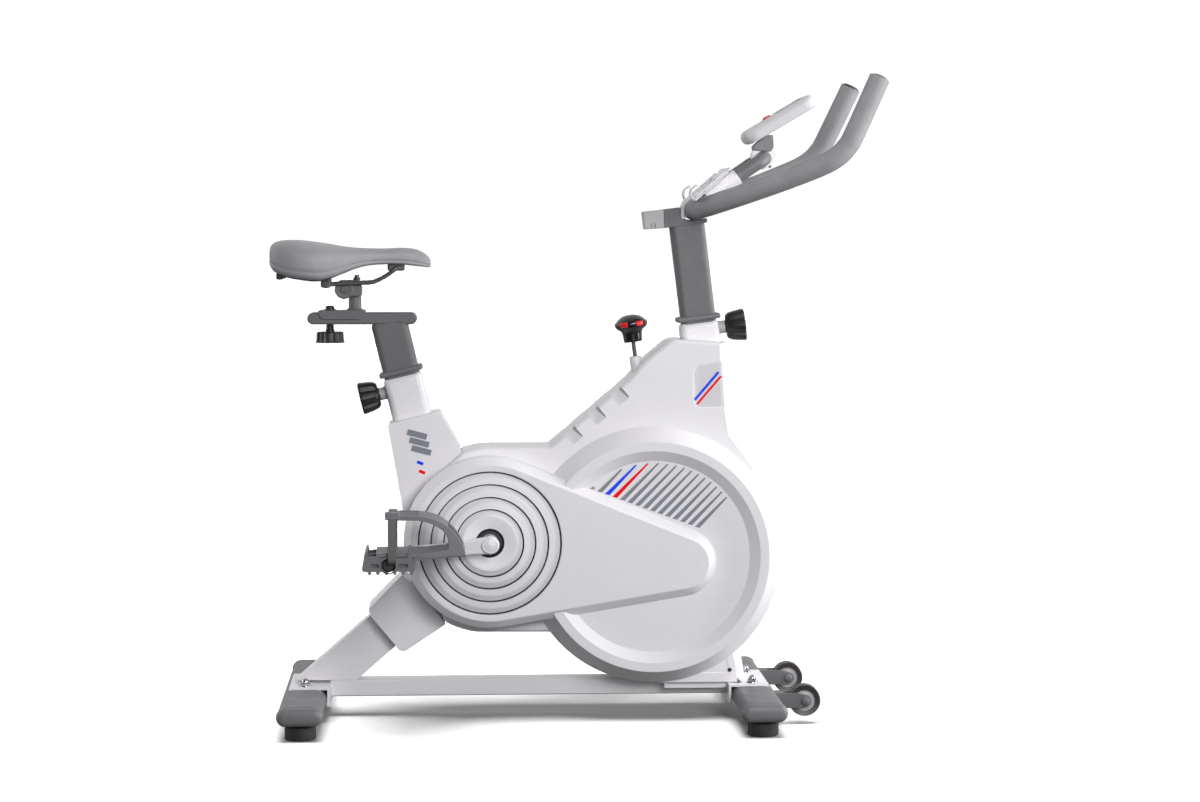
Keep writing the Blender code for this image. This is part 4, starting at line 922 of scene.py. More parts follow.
def pedal_body(side):
    """Moulded platform: hollow wells, slotted edges, toothed lower rim."""
    c, body, word = PEDALS[side], BODIES[side], WORDS[side]
    profile = [(-0.042, -0.006), (-0.0385, 0.015), (-0.0372, 0.0215), (-0.0335, 0.0215), (-0.0325, 0.0135),
               (-0.02, 0.0145), (-0.012, 0.0125), (0.03, 0.0125), (0.031, 0.0205), (0.035, 0.0215),
               (0.0368, 0.015), (0.042, -0.006)]
    for k in range(7):
        x = 0.04 - k * 0.0133
        tooth = [(x, -0.0095), (x - 0.0016, -0.0145), (x - 0.005, -0.0145), (x - 0.0068, -0.0098)]
        profile += [p for p in tooth if p[0] > -0.041]
    outline = [(c.x + x, c.z + z) for x, z in profile]
    obj = plate("platform_" + word, outline, side * 0.15, side * 0.256, PLASTIC_GREY, body)
    # two rows of wells, then slots through the end faces beside the spindle
    openings = [(x0, x1, y0, y1, -0.03, 0.03) for x0, x1 in ((-0.033, -0.0125), (0.0125, 0.033))
                for y0, y1 in ((0.158, 0.198), (0.208, 0.248))]
    openings += [(x0, x1, 0.249, 0.27, -0.003, 0.0026) for x0, x1 in ((-0.0275, -0.015), (0.0155, 0.031))]
    wells = []
    for x0, x1, y0, y1, z0, z1 in openings:
        ys = across(side, y0, y1)
        wells.append(box_mesh((c.x + x0, ys[0], c.z + z0), (c.x + x1, ys[1], c.z + z1)))
    bore = [(0, 0.248), (0.0118, 0.248), (0.0118, 0.27), (0, 0.27)]
    wells.append(lathe_mesh(bore, (c.x, 0, c.z), SIDE * side, 48))
    carve(obj, wells)
    soften(obj, 0.0014, 3)
    barrel = [(0, 0.0), (0.0095, 0.0), (0.0112, 0.002), (0.0112, 0.098), (0.009, 0.099), (0.0085, 0.0985),
              (0, 0.0985)]
    lathe("pedal_barrel_" + word, barrel, (c.x, side * 0.15, c.z), SIDE * side, BLACK, body, 40)
    rim = [(0.0118, 0.0), (0.0132, 0.0003), (0.0136, 0.0012), (0.0132, 0.002), (0.0118, 0.0022)]
    lathe("pedal_collar_" + word, rim, (c.x, side * 0.2548, c.z), SIDE * side, PLASTIC_GREY, body, 48)
    rod("pedal_spindle_" + word, (c.x, side * 0.134, c.z), (c.x, side * 0.152, c.z), 0.0066, CHROME, body, 32)
    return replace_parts(obj, BODIES[side])


CAGE = [(-0.02, 0.013), (0.042, 0.0125), (0.07, 0.0105), (0.078, 0.0118), (0.09, 0.0126), (0.118, 0.0128),
        (0.1222, 0.014), (0.1218, 0.02), (0.1185, 0.029), (0.113, 0.0395), (0.105, 0.0505), (0.096, 0.0592),
        (0.086, 0.0665), (0.074, 0.0725), (0.06, 0.0765), (0.045, 0.078), (0.01, 0.0785), (0.01, 0.0715),
        (0.046, 0.0712), (0.06, 0.0688), (0.074, 0.063), (0.085, 0.0555), (0.0915, 0.048), (0.0945, 0.04),
        (0.095, 0.026), (0.09, 0.0225), (0.07, 0.0215), (0.06, 0.0195), (-0.02, 0.0195)]


def toe_cage(side):
    """Moulded toe clip: flat sole tongue, curled front and an open window."""
    c, body, word = PEDALS[side], BODIES[side], WORDS[side]
    outline = [(c.x + x, c.z + z) for x, z in CAGE]
    obj = plate("toe_clip_" + word, outline, side * 0.157, side * 0.252, PLASTIC_GREY, body)
    win = across(side, 0.17, 0.239)
    cutters = [box_mesh((c.x + 0.07, win[0], c.z + 0.0275), (c.x + 0.14, win[1], c.z + 0.06))]
    # waist: the clip narrows towards its curled front
    for edge, inner, outer in ((0.157, 0.1655, 0.14), (0.252, 0.2435, 0.27)):
        corners = [(0.06, edge), (0.125, inner), (0.125, outer), (0.06, outer)]
        bm = bmesh.new()
        skin(bm, [[bm.verts.new((c.x + x, side * y, c.z + z)) for x, y in corners] for z in (-0.01, 0.12)])
        cutters.append(bm)
    carve(obj, cutters)
    soften(obj, 0.0016, 3)
    for k, y in enumerate((0.176, 0.2045, 0.233)):
        ys = across(side, y - 0.0022, y + 0.0022)
        block(f"clip_rib_{word}_{k}", (c.x + 0.018, ys[0], c.z + 0.0775), (c.x + 0.048, ys[1], c.z + 0.0795),
              PLASTIC_GREY, body, 0.0006, 2)
    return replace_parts(obj, "toe_cage_" + word)


def toe_strap(side):
    """Webbing strap looped under the pedal and over the clip, with its buckle."""
    c, body, word = PEDALS[side], BODIES[side], WORDS[side]
    inner, outer, bottom, top, half, thick, corner = 0.1484, 0.2608, 0.001, 0.0808, 0.0068, 0.0016, 0.01
    mid_x = c.x + 0.006
    bm = bmesh.new()
    rows = []
    for cy, cz, start in ((outer - corner, top - corner, 0), (inner + corner, top - corner, 90),
                          (inner + corner, bottom + corner, 180), (outer - corner, bottom + corner, 270)):
        for s in range(7):
            a = math.radians(start + 90 * s / 6)
            y, z = cy + corner * math.cos(a), cz + corner * math.sin(a)
            rows.append([bm.verts.new((mid_x + dx, side * (y + math.cos(a) * t), c.z + z + math.sin(a) * t))
                         for dx, t in ((-half, 0), (half, 0), (half, -thick), (-half, -thick))])
    skin(bm, rows, True)
    obj = to_object("strap_loop_" + word, bm, STRAP, body, 40)
    soften(obj, 0.0004, 2)
    ys = across(side, 0.24, 0.2616)
    buckle = block("strap_buckle_" + word, (c.x - 0.005, ys[0], c.z + 0.0735),
                   (c.x + 0.017, ys[1], c.z + 0.0845), PLASTIC_GREY, body, 0.0012, 3)
    y = side * 0.2508
    carve(buckle, [box_mesh((c.x - 0.001, y - 0.0075, c.z + 0.0825), (c.x + 0.013, y + 0.0075, c.z + 0.099))])
    rod("strap_pin_" + word, (c.x - 0.004, y, c.z + 0.0832), (c.x + 0.016, y, c.z + 0.0832), 0.0013, CHROME,
        body, 16, 0.0003)
    tail = across(side, 0.213, 0.244)
    block("strap_tail_" + word, (mid_x - half, tail[0], c.z + 0.0808), (mid_x + half, tail[1], c.z + 0.0821),
          STRAP, body, 0.0004, 2)
    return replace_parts(obj, "toe_strap_" + word)


def build_cranks():
    for side in (RIGHT, LEFT):
        crank_arm(side)
        pedal_body(side)
        toe_cage(side)
        toe_strap(side)


# ---------------------------------------------------------------- knobs and brake

def lobed_knob(name, node, start, out, near=0.0125, reach=0.044):
    """Flared star grip: deep flutes, crowned face, collar and pull pin."""
    lobes = 6
    levels = ((0.015, 0.0, 0.1), (0.0185, 0.015, 0.3), (0.0212, 0.07, 0.6), (0.024, 0.2, 0.9),
              (0.026, 0.5, 1.0), (0.0276, 0.86, 1.0), (0.0279, 0.93, 1.0), (0.0272, 0.98, 0.95),
              (0.025, 1.0, 0.8), (0.019, 1.004, 0.4), (0.0145, 1.006, 0.1), (0.0138, 0.985, 0.0),
              (0.007, 0.985, 0.0))
    levels = [(r, near + (reach - near) * h, depth) for r, h, depth in levels]

    def wave(level, i, a):
        flute = max(0.0, math.cos(lobes * a + math.pi)) ** 1.6
        return level[0] - 0.0052 * level[2] * flute + 0.0006 * level[2] * math.cos(2 * lobes * a)

    bm = ringed_mesh(levels, 144, wave, frame_at(start, out))
    obj = to_object(name, bm, BLACK, node, 42)
    collar = [(0, -0.004), (0.0042, -0.004), (0.0042, near - 0.003), (0.0095, near - 0.0026),
              (0.0105, near - 0.0014), (0.011, near + 0.0008), (0, near + 0.0008)]
    lathe(name + "_collar", collar, start, out, BLACK, node, 40)
    pin = [(0, -0.02), (0.0036, -0.02), (0.0043, -0.019), (0.0043, 0.001), (0, 0.001)]
    lathe(name + "_pin", pin, start, out, STEEL, node, 32)
    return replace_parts(obj, node)


def fluted_knob(name, node, centre, low, high, radius):
    """Round grip with ten broad flutes and a flared lower rim."""
    levels = ((0.5, 0.1, 0.0), (0.86, 0.02, 0.3), (0.98, 0.0, 0.8), (1.0, 0.06, 1.0), (0.955, 0.16, 1.0),
              (0.93, 0.5, 1.0), (0.925, 0.86, 1.0), (0.9, 0.95, 0.9), (0.84, 1.0, 0.6), (0.5, 1.0, 0.0))
    levels = [(radius * r, low + (high - low) * h, depth) for r, h, depth in levels]

    def radius_at(level, _, turn):
        return level[0] - 0.0022 * level[2] * max(0.0, math.cos(10 * turn)) ** 2

    bm = ringed_mesh(levels, 144, radius_at, Matrix.Translation(centre))
    obj = to_object(name, bm, BLACK, node, 34)
    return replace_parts(obj, node)


TENSION_TILT = math.radians(7.5)
TENSION_LOW = Vector((0.104, 0, 0.6))
TENSION_RISE = 0.0045


def build_brake():
    up = Vector((-math.sin(TENSION_TILT), 0, math.cos(TENSION_TILT)))
    outer = [(0.0036, -0.06), (0.0096, -0.06), (0.01, -0.0585), (0.01, -0.0012), (0.0094, 0.0002),
             (0.006, 0.001), (0.0036, 0.001)]
    lathe("tension_sleeve", outer, TENSION_LOW, up, PAINT, "frame", 40)
    shaft = rod("tension_shaft", TENSION_LOW - up * 0.143, TENSION_LOW + up * 0.036, 0.0034, DARK_STEEL,
                "tension_rod", 32, 0.0006)
    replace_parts(shaft, "tension_rod")
    dome = [(0.0036, 0.0206), (0.0142, 0.0206), (0.0154, 0.0218), (0.0162, 0.0335), (0.0166, 0.0362),
            (0.018, 0.0392), (0.0235, 0.0432), (0.0252, 0.0446), (0.0258, 0.0462), (0.0268, 0.0492),
            (0.027, 0.0512), (0.0266, 0.053), (0.0256, 0.0548), (0.0225, 0.0582), (0.018, 0.0618),
            (0.013, 0.0643), (0.0085, 0.0657), (0, 0.0664)]
    dome = [(r, h + TENSION_RISE) for r, h in dome]
    obj = lathe("tension_grip", dome, TENSION_LOW, up, BLACK_GLOSS, "tension_knob", 72, 40)
    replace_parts(obj, "tension_knob")
    place = frame_at(TENSION_LOW + up * TENSION_RISE, up)
    rim = [(0.02615, 0.0466), (0.02712, 0.0493), (0.02735, 0.0511), (0.0269, 0.0529), (0.02595, 0.0547)]
    for k in range(6):
        turn = place @ Matrix.Rotation(math.radians(60 * k + 30), 4, "Z")
        bm = bmesh.new()
        grid = []
        for i in range(7):
            a = math.radians(-14 + 28 * i / 6)
            grid.append([bm.verts.new(turn @ Vector((r * math.cos(a), r * math.sin(a), h))) for r, h in rim])
        for a, b in zip(grid, grid[1:]):
            for i in range(4):
                bm.faces.new((a[i], b[i], b[i + 1], a[i + 1]))
        patch = to_object(f"tension_mark_{k}", bm, RED, "tension_knob", 60)
        thick = patch.modifiers.new("thick", "SOLIDIFY")
        thick.thickness = 0.0006
        thick.offset = 0


def build_knobs():
    lobed_knob("seat_grip", "seat_post_knob", (-0.31134, 0, 0.54091), facing(SEAT_TILT, -1))
    lobed_knob("head_grip", "handlebar_post_knob", (0.24389, 0, 0.64852), facing(HEAD_TILT, 1))


# ---------------------------------------------------------------- seat

def post_bar(name, node, line, tilt, z0, z1, depth, width):
    obj = to_object(name, bar_mesh(line, tilt, z0, z1, depth, width), STEEL_GREY, node)
    soften(obj, 0.0092, 6)
    return obj


def post_holes(name, node, line, tilt, first, step, count, front, depth):
    """Row of adjusting holes down one face of a post, each a shallow black cup: painted shade of the hole."""
    out = facing(tilt, front)
    hole_shade_cup = [(0.0058, 0.0002), (0.005, 0.0004), (0.0046, 0.0001), (0.0044, -0.0012), (0, -0.0012), (0, -0.003),
           (0.006, -0.003)]
    for i in range(count):
        at = on_line(line, tilt, first - step * i) + out * (depth / 2 + 0.0001)
        lathe(f"{name}_{i}", hole_shade_cup, at, out, BLACK, node, 32)


def build_seat():
    obj = post_bar("seat_post_bar", "seat_post", SEAT_LINE, SEAT_TILT, 0.43, 0.664, 0.06, 0.04)
    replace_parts(obj, "seat_post")
    ends = arc((-0.2695, 0.665), 0.0098, -90, 90, 12) + arc((-0.4312, 0.665), 0.0098, 90, 270, 12)
    rail = plate("slide_rail", ends, -0.02, 0.02, STEEL_GREY, "seat_post")
    carve(rail, [plate_mesh([(-0.426, 0.6), (-0.382, 0.6), (-0.382, 0.7), (-0.426, 0.7)], -0.0055, 0.0055)])
    soften(rail, 0.003, 4)
    post_holes("seat_hole", "seat_post", SEAT_LINE, SEAT_TILT, 0.63, 0.024, 2, -1, 0.06)
    outline = rounded([(-0.418, 0.664), (-0.353, 0.664), (-0.343, 0.6785), (-0.424, 0.6785)],
                      [0.006, 0.003, 0.004, 0.004], 4)
    shoe = plate("slide_shoe", outline, -0.0235, 0.0235, STEEL_GREY, "seat_slider")
    carve(shoe, [plate_mesh([(-0.43, 0.6), (-0.33, 0.6), (-0.33, 0.6756), (-0.43, 0.6756)], -0.0206, 0.0206)])
    soften(shoe, 0.0012, 3)
    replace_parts(shoe, "seat_slider")
    pillar = [(0, 0.0), (0.015, 0.0), (0.0152, 0.001), (0.0118, 0.0026), (0.0106, 0.0045), (0.0106, 0.036),
              (0.01, 0.0376), (0, 0.038)]
    lathe("seat_pillar", pillar, (-0.3625, 0, 0.678), UP, STEEL_GREY, "seat_slider", 48)
    fluted_knob("slide_grip", "slider_knob", (-0.404, 0, 0), 0.6245, 0.6425, 0.0245)
    bolt = [(0, 0.0), (0.0048, 0.0), (0.0048, 0.037), (0.01, 0.0372), (0.01, 0.0384), (0.0074, 0.0386),
            (0.0074, 0.0422), (0.0062, 0.044), (0, 0.0446)]
    lathe("slide_bolt", bolt, (-0.404, 0, 0.6415), UP, BLACK, "slider_knob", 36)
    boss = [(0, 0.0), (0.0075, 0.0), (0.0075, 0.003), (0.0062, 0.0045), (0.0062, 0.0118), (0, 0.0118)]
    lathe("slide_boss", boss, (-0.404, 0, 0.6424), UP, BLACK, "slider_knob", 36)
    build_clamp()
    build_saddle_rails()
    build_saddle()


def build_clamp():
    outline = rounded([(-0.3925, 0.7015), (-0.351, 0.7015), (-0.35, 0.716), (-0.356, 0.7285),
                       (-0.388, 0.7285), (-0.3935, 0.716)], 0.004, 4)
    body = plate("clamp_block", outline, -0.0172, 0.0172, STEEL_GREY, "seat_slider")
    soften(body, 0.002, 3)
    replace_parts(body, "seat_clamp")
    x, z = -0.38, 0.713
    cheek = [(0, -0.001), (0.0148, -0.001), (0.0155, -0.0002), (0.0155, 0.0016), (0.0146, 0.0024),
             (0.011, 0.0026), (0.0096, 0.002), (0.007, 0.002), (0, 0.002)]
    for side in (RIGHT, LEFT):
        lathe("clamp_cheek_" + WORDS[side], cheek, (x, side * 0.0165, z), SIDE * side, STEEL_GREY,
              "seat_slider", 48)
        plate("clamp_nut_" + WORDS[side], hexagon(0.0062, 0, (x, z)), side * 0.0182, side * 0.0215,
              DARK_STEEL, "seat_slider", 0.0007, 2)
    rod("clamp_bolt", (-0.359, 0, 0.727), (-0.359, 0, 0.737), 0.004, DARK_STEEL, "seat_slider", 32, 0.0006)
    bm = plate_mesh(hexagon(0.0068, 30), 0.0, 0.0042)
    place = Matrix.Translation((-0.359, 0, 0.7284)) @ Matrix.Rotation(math.radians(90), 4, "X")
    bmesh.ops.transform(bm, matrix=place, verts=bm.verts)
    soften(to_object("clamp_bolt_nut", bm, DARK_STEEL, "seat_slider", 30), 0.0005, 2)


def build_saddle_rails():
    side_path = [(-0.293, 0.748), (-0.31, 0.736), (-0.325, 0.728), (-0.338, 0.7245), (-0.37, 0.7235),
                 (-0.4, 0.7215), (-0.406, 0.7195)]
    nose = [(-0.286, 0.012, 0.749), (-0.2835, 0, 0.749), (-0.286, -0.012, 0.749)]
    back = [(-0.41, -0.014, 0.7185), (-0.411, 0, 0.718), (-0.41, 0.014, 0.7185)]
    loop = nose + [(x, -0.0222, z) for x, z in side_path] + back + [(x, 0.0222, z) for x,
                                                                    z in reversed(side_path)]
    obj = tube("saddle_wire", smooth_path(loop, 5, True), 0.0034, DARK_STEEL, "saddle", 16, True)
    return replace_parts(obj, "saddle_rails")


SADDLE_STATIONS = (  # x, top, lower edge, half width
    (-0.501, 0.78, 0.756, 0.042), (-0.4985, 0.787, 0.748, 0.06), (-0.49, 0.7925, 0.7385, 0.072),
    (-0.472, 0.7952, 0.73, 0.0795), (-0.45, 0.7948, 0.7252, 0.082), (-0.423, 0.7915, 0.7228, 0.0795),
    (-0.4, 0.7878, 0.728, 0.072), (-0.38, 0.7845, 0.737, 0.062), (-0.36, 0.7825, 0.7455, 0.0515),
    (-0.338, 0.7815, 0.751, 0.042), (-0.312, 0.7815, 0.753, 0.035), (-0.285, 0.7822, 0.7525, 0.0305),
    (-0.265, 0.7805, 0.7505, 0.0275), (-0.25, 0.775, 0.7488, 0.0235), (-0.24, 0.7665, 0.7485, 0.017),
    (-0.2372, 0.7615, 0.75, 0.011))


def saddle_station(t):
    """Blended saddle section at share t from the tail to the nose."""
    spans = len(SADDLE_STATIONS) - 1
    at = min(spans - 1e-6, max(0.0, t * spans))
    i = int(at)
    near = [SADDLE_STATIONS[min(spans, max(0, i + k))] for k in (-1, 0, 1, 2)]
    return [catmull(*values, at - i) for values in zip(*near)]


def saddle_point(t, turn):
    """Point of the cover: domed top, full flanks, rolled lower edge and a hollow underside."""
    x, top, under, half = saddle_station(t)
    c, s = math.cos(turn), math.sin(turn)
    mid = under + (top - under) * 0.5
    side = math.copysign(abs(c) ** (0.54 if s >= 0 else 0.44), c)
    y = half * side * (1 - 0.05 * max(0.0, s))
    if s >= 0:
        z = mid + (top - mid) * s ** 0.66
        z -= 0.0024 * math.exp(-(y / 0.011) ** 2) * s * math.exp(-((t - 0.42) / 0.25) ** 2)
    else:
        z = mid - (mid - under) * abs(s) ** 0.55
        hollow = max(0.0, 1 - (abs(y) / (half * 0.8)) ** 2)
        z += 0.013 * hollow * min(1.0, 6 * t, 9 * (1 - t)) * (top - under) / 0.06
    return Vector((x, y, z))


def pucker(point, depth):
    """Small, soft unevenness of the stuffed skin."""
    broad = noise.noise(point * 38.0)
    fine = noise.noise(point * 105.0 + Vector((7, 3, 1)))
    return depth * (broad + 0.45 * fine)


def build_saddle():
    """Padded cover over a stiff base: full flanks, a pressed seam and a rolled lip."""
    rows, count = 84, 88
    bm = bmesh.new()
    rings = [[bm.verts.new(saddle_point(r / (rows - 1), 2 * math.pi * i / count)) for i in range(count)]
             for r in range(rows)]
    skin(bm, rings, capped=False)
    for ring, shift in ((rings[0][::-1], -0.0008), (rings[-1], 0.0006)):
        middle = sum((v.co for v in ring), Vector()) / count
        tip = bm.verts.new(middle + Vector((shift, 0, 0)))
        for a, b in zip(ring, ring[1:] + ring[:1]):
            bm.faces.new((a, b, tip))
    press_details(bm, rings, rows, count)
    obj = to_object("saddle_pad", bm, SADDLE_SKIN, "saddle", 60)
    obj.data.materials.append(SADDLE_BASE)
    for poly in obj.data.polygons:
        if poly.normal.z < -0.35 and under_saddle(poly.center):
            poly.material_index = 1
    mod = obj.modifiers.new("smooth_skin", "SUBSURF")
    mod.levels = 1
    mod.render_levels = 2
    base_tray()
    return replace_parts(obj, "saddle")


def press_details(bm, rings, rows, count):
    """Rolled lower lip with a pressed line above it, gathered folds below and soft puckers."""
    bm.normal_update()
    moves = []
    for r, ring in enumerate(rings):
        t = r / (rows - 1)
        for i, v in enumerate(ring):
            turn = 360.0 * i / count
            low = (turn - 180 if turn < 270 else 360 - turn) if turn > 180 else -min(turn, 180 - turn)
            lift = pucker(v.co, 0.00045)
            lift -= 0.0011 * math.exp(-((low - 14) / 5.0) ** 2)
            lift += 0.0009 * math.exp(-((low - 30) / 9.0) ** 2)
            if low > 50:
                lift += 0.0005 * math.sin(v.co.x * 900) * min(1.0, (low - 50) / 20)
            moves.append((v, v.normal * lift * min(1.0, 0.3 + 8 * t, 0.3 + 8 * (1 - t))))
    for v, move in moves:
        v.co += move


def half_width(x):
    for a, b in zip(SADDLE_STATIONS, SADDLE_STATIONS[1:]):
        if a[0] <= x <= b[0]:
            return a[3] + (b[3] - a[3]) * (x - a[0]) / (b[0] - a[0])
    return 0.0


def under_saddle(point):
    return abs(point.y) < half_width(point.x) - 0.009 and -0.492 < point.x < -0.243


def base_tray():
    """Dark moulded base: nose and rear sockets and the rear stops seen under the cover."""
    stops = {WORDS[side]: across(side, 0.034, 0.05) for side in (RIGHT, LEFT)}
    for name, x0, x1, ys, z0, z1 in (
            ("nose_socket", -0.308, -0.28, (-0.019, 0.019), 0.744, 0.76),
            ("rear_socket", -0.418, -0.402, (-0.03, 0.03), 0.716, 0.742),
            ("bumper_right", -0.49, -0.478, stops["right"], 0.73, 0.742),
            ("bumper_left", -0.49, -0.478, stops["left"], 0.73, 0.742)):
        block("saddle_" + name, (x0, ys[0], z0), (x1, ys[1], z1), SADDLE_BASE, "saddle", 0.003)


# ---------------------------------------------------------------- handlebar, tray and console

BAR_PATH = [(0.203, 0.03, 0.8455), (0.218, 0.06, 0.85), (0.248, 0.095, 0.8605), (0.29, 0.128, 0.8755),
            (0.34, 0.154, 0.894), (0.392, 0.174, 0.915), (0.417, 0.1795, 0.929), (0.433, 0.1795, 0.945),
            (0.445, 0.178, 0.965), (0.4875, 0.166, 1.056)]
LOOP_PATH = [(0.231, 0.048, 0.8721), (0.296, 0.048, 0.917), (0.308, 0.045, 0.9245), (0.315, 0.036, 0.929),
             (0.317, 0.023, 0.9305)]


def mirrored(points):
    return points + [(x, -y, z) for x, y, z in reversed(points)]


def on_side(side, *points):
    """Points moved over to one side of the middle plane."""
    return [Vector((p.x, p.y * side, p.z)) for p in points]


def build_handlebar():
    body = "handlebar_post"
    stem = post_bar("head_post_bar", body, HEAD_LINE, HEAD_TILT, 0.56, 0.8275, 0.058, 0.04)
    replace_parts(stem, "handlebar_post")
    post_holes("head_hole", body, HEAD_LINE, HEAD_TILT, 0.78, 0.026, 5, 1, 0.058)
    beam = rounded([(0.1515, 0.8144), (0.15, 0.8456), (0.1775, 0.849), (0.18, 0.83), (0.2, 0.8275),
                    (0.2225, 0.831), (0.2225, 0.8236)], [0, 0, 0.002, 0.001, 0.002, 0.002, 0.002])
    plate("stem_box", beam, -0.0206, 0.0206, STEEL_GREY, body, 0.0024, 4)
    plug = rounded([(0.1184, 0.8121), (0.1149, 0.8414), (0.1502, 0.8456), (0.1517, 0.8144)],
                   [0.002, 0.002, 0, 0])
    plate("stem_end", plug, -0.0202, 0.0202, PALE_GREY, body, 0.0016, 3)
    # painted shade: thin black plates stand for the two notches on each side of the stem end
    for k, x in enumerate((0.129, 0.135)):
        for side in (RIGHT, LEFT):
            ys = across(side, 0.0198, 0.0205)
            block(f"stem_notch_shade_{WORDS[side]}_{k}", (x, ys[0], 0.8152), (x + 0.0012, ys[1], 0.8225), BLACK,
                  body, 0.0002, 1)
    bar_obj = tube("bar_foam", smooth_path(mirrored(BAR_PATH[::-1]), 6), 0.017, GRIP, body, 36, False, 0.0022)
    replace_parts(bar_obj, "handlebar")
    # black cap on each bar end: an end plug whose black also stands for the shade in the open tube end,
    # partly painted shade
    cap = [(0, -0.004), (0.0142, -0.004), (0.0142, 0.0012), (0.0134, 0.0026), (0.0108, 0.0038),
           (0.006, 0.0044), (0, 0.0046)]
    for side in (RIGHT, LEFT):
        before, tip = on_side(side, Vector(BAR_PATH[-2]), Vector(BAR_PATH[-1]))
        out = (tip - before).normalized()
        lathe("bar_end_shade_cap_" + WORDS[side], cap, tip - out * 0.0008, out, BLACK, body, 40)
    loop_obj = tube("inner_loop_tube", smooth_path(mirrored(LOOP_PATH), 6), 0.0115, PLASTIC_GREY, body, 28,
                    False, 0.0016)
    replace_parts(loop_obj, "inner_loop")
    a, b = Vector(LOOP_PATH[0]), Vector(LOOP_PATH[1])
    for side in (RIGHT, LEFT):
        start, end = on_side(side, a.lerp(b, -0.18), a.lerp(b, 0.605))
        span = (end - start).length
        cuff = [(0.0112, 0), (0.0128, 0.0004), (0.0133, 0.0014), (0.0135, span - 0.0014),
                (0.0131, span - 0.0004), (0.0112, span)]
        lathe("loop_sleeve_" + WORDS[side], cuff, start, end - start, PAINT, body, 40)
    build_bar_clamp(body)
    build_tray(body)
    build_console()


def build_bar_clamp(body):
    """Strap that wraps the bar centre, with a bolted ear below."""
    centre = (0.203, 0.8455)
    outer = arc(centre, 0.0212, -58, 222, 36)
    inner = arc(centre, 0.0172, 222, -58, 36)
    obj = plate("bar_strap", outer + inner, -0.017, 0.017, PAINT, body, 0.0012, 3)
    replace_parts(obj, "handlebar_clamp")
    back = rounded([(0.1785, 0.818), (0.1868, 0.818), (0.1858, 0.844), (0.188, 0.8545), (0.1935, 0.86),
                    (0.2, 0.862), (0.2, 0.8668), (0.1915, 0.8652), (0.1838, 0.86), (0.1792, 0.85)], 0.0025)
    plate("strap_back", back, -0.0172, 0.0172, PAINT, body, 0.0016, 3)


def build_tray(body):
    """Device tray: thin sloping floor with stiffening ribs, curled rear hooks and a front stop."""
    outline = rounded([(0.1955, 0.8595), (0.199, 0.859), (0.25, 0.9045), (0.256, 0.9135), (0.254, 0.9145),
                       (0.248, 0.9065), (0.1965, 0.8622)], 0.001, 2)
    obj = plate("device_tray", outline, -0.085, 0.085, PAINT, body, 0.0008, 2)
    a, b = Vector((0.199, 0, 0.8646)), Vector((0.247, 0, 0.9058))
    along = (b - a).normalized()
    at = Matrix((along, SIDE, along.cross(SIDE))).transposed().to_4x4()
    slots = []
    for k in (-1, 0, 1):
        at.translation = a + SIDE * (k * 0.05)
        slots.append(box_mesh((0.016, -0.015, -0.02), (0.05, 0.015, 0.02), at))
    carve(obj, slots)
    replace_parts(obj, "phone_tray")
    curl = [(0.201, 0.865), (0.194, 0.8625), (0.1902, 0.868), (0.1905, 0.876), (0.195, 0.8815),
            (0.2008, 0.885)]
    for side in (RIGHT, LEFT):
        hook = smooth_path([(x, side * 0.079, z) for x, z in curl], 6)
        for name, inward in (("tray_hook_", 0), ("tray_inner_hook_", 0.018)):
            tube(name + WORDS[side], [p + SIDE * (-side * inward) for p in hook], 0.0017, PAINT, body, 12,
                 False, 0.0004)
        at.translation = a + SIDE * (side * 0.0835)
        block("tray_edge_" + WORDS[side], (0, -0.0015, -0.0022), ((b - a).length, 0.0015, 0.0026), PAINT,
              body, 0.0008, 2, at.copy())
    for side in (RIGHT, LEFT):
        y = side * 0.03
        post = smooth_path([(0.213, y, 0.856), (0.216, y, 0.87), (0.22, y, 0.88)], 4)
        tube("tray_leg_" + WORDS[side], post, 0.0034, PAINT, body, 16, False, 0.0005)


CONSOLE_AT = Vector((0.342, 0, 0.995))
CONSOLE_TILT = math.radians(30.5)
CONSOLE_PLACE = Matrix.Translation(CONSOLE_AT) @ Matrix.Rotation(-CONSOLE_TILT, 4, "Y")
BUTTON_AT = -0.015


def stand_up(bm):
    """Turn a mesh drawn in the console's own (along, across) plane into place."""
    bmesh.ops.transform(bm, matrix=CONSOLE_PLACE @ Matrix.Rotation(math.radians(90), 4, "X"), verts=bm.verts)
    return bm


def console_mesh(outline, z0, z1):
    return stand_up(plate_mesh(outline, z0, z1))


def pill(half_x, half_y, radius, shift=0.0):
    corners = [(-half_x, -half_y), (half_x, -half_y), (half_x, half_y), (-half_x, half_y)]
    return rounded([(x + shift, y) for x, y in corners], radius, 8)


def console_case():
    """Pill-shaped case: fully rounded sides, recessed screen and a dished button seat."""
    bm = plate_mesh(pill(0.068, 0.043, 0.024), -0.0125, 0.011)
    rims = [e for e in bm.edges if abs(e.verts[0].co.y - e.verts[1].co.y) < 1e-6]
    bmesh.ops.bevel(bm, geom=rims, offset=0.0105, segments=7, profile=0.5, affect="EDGES", clamp_overlap=True)
    body = to_object("console_case", stand_up(bm), SHADED_CASE_WHITE, "console", 50)
    cutters = [console_mesh(pill(0.0235, 0.03, 0.006, 0.027), 0.0098, 0.03),
               console_mesh(arc((BUTTON_AT, 0), 0.0086, 0, 352.5, 47), 0.0072, 0.03)]
    carve(body, cutters, smooth=40)
    even_normals(body)
    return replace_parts(body, "console")


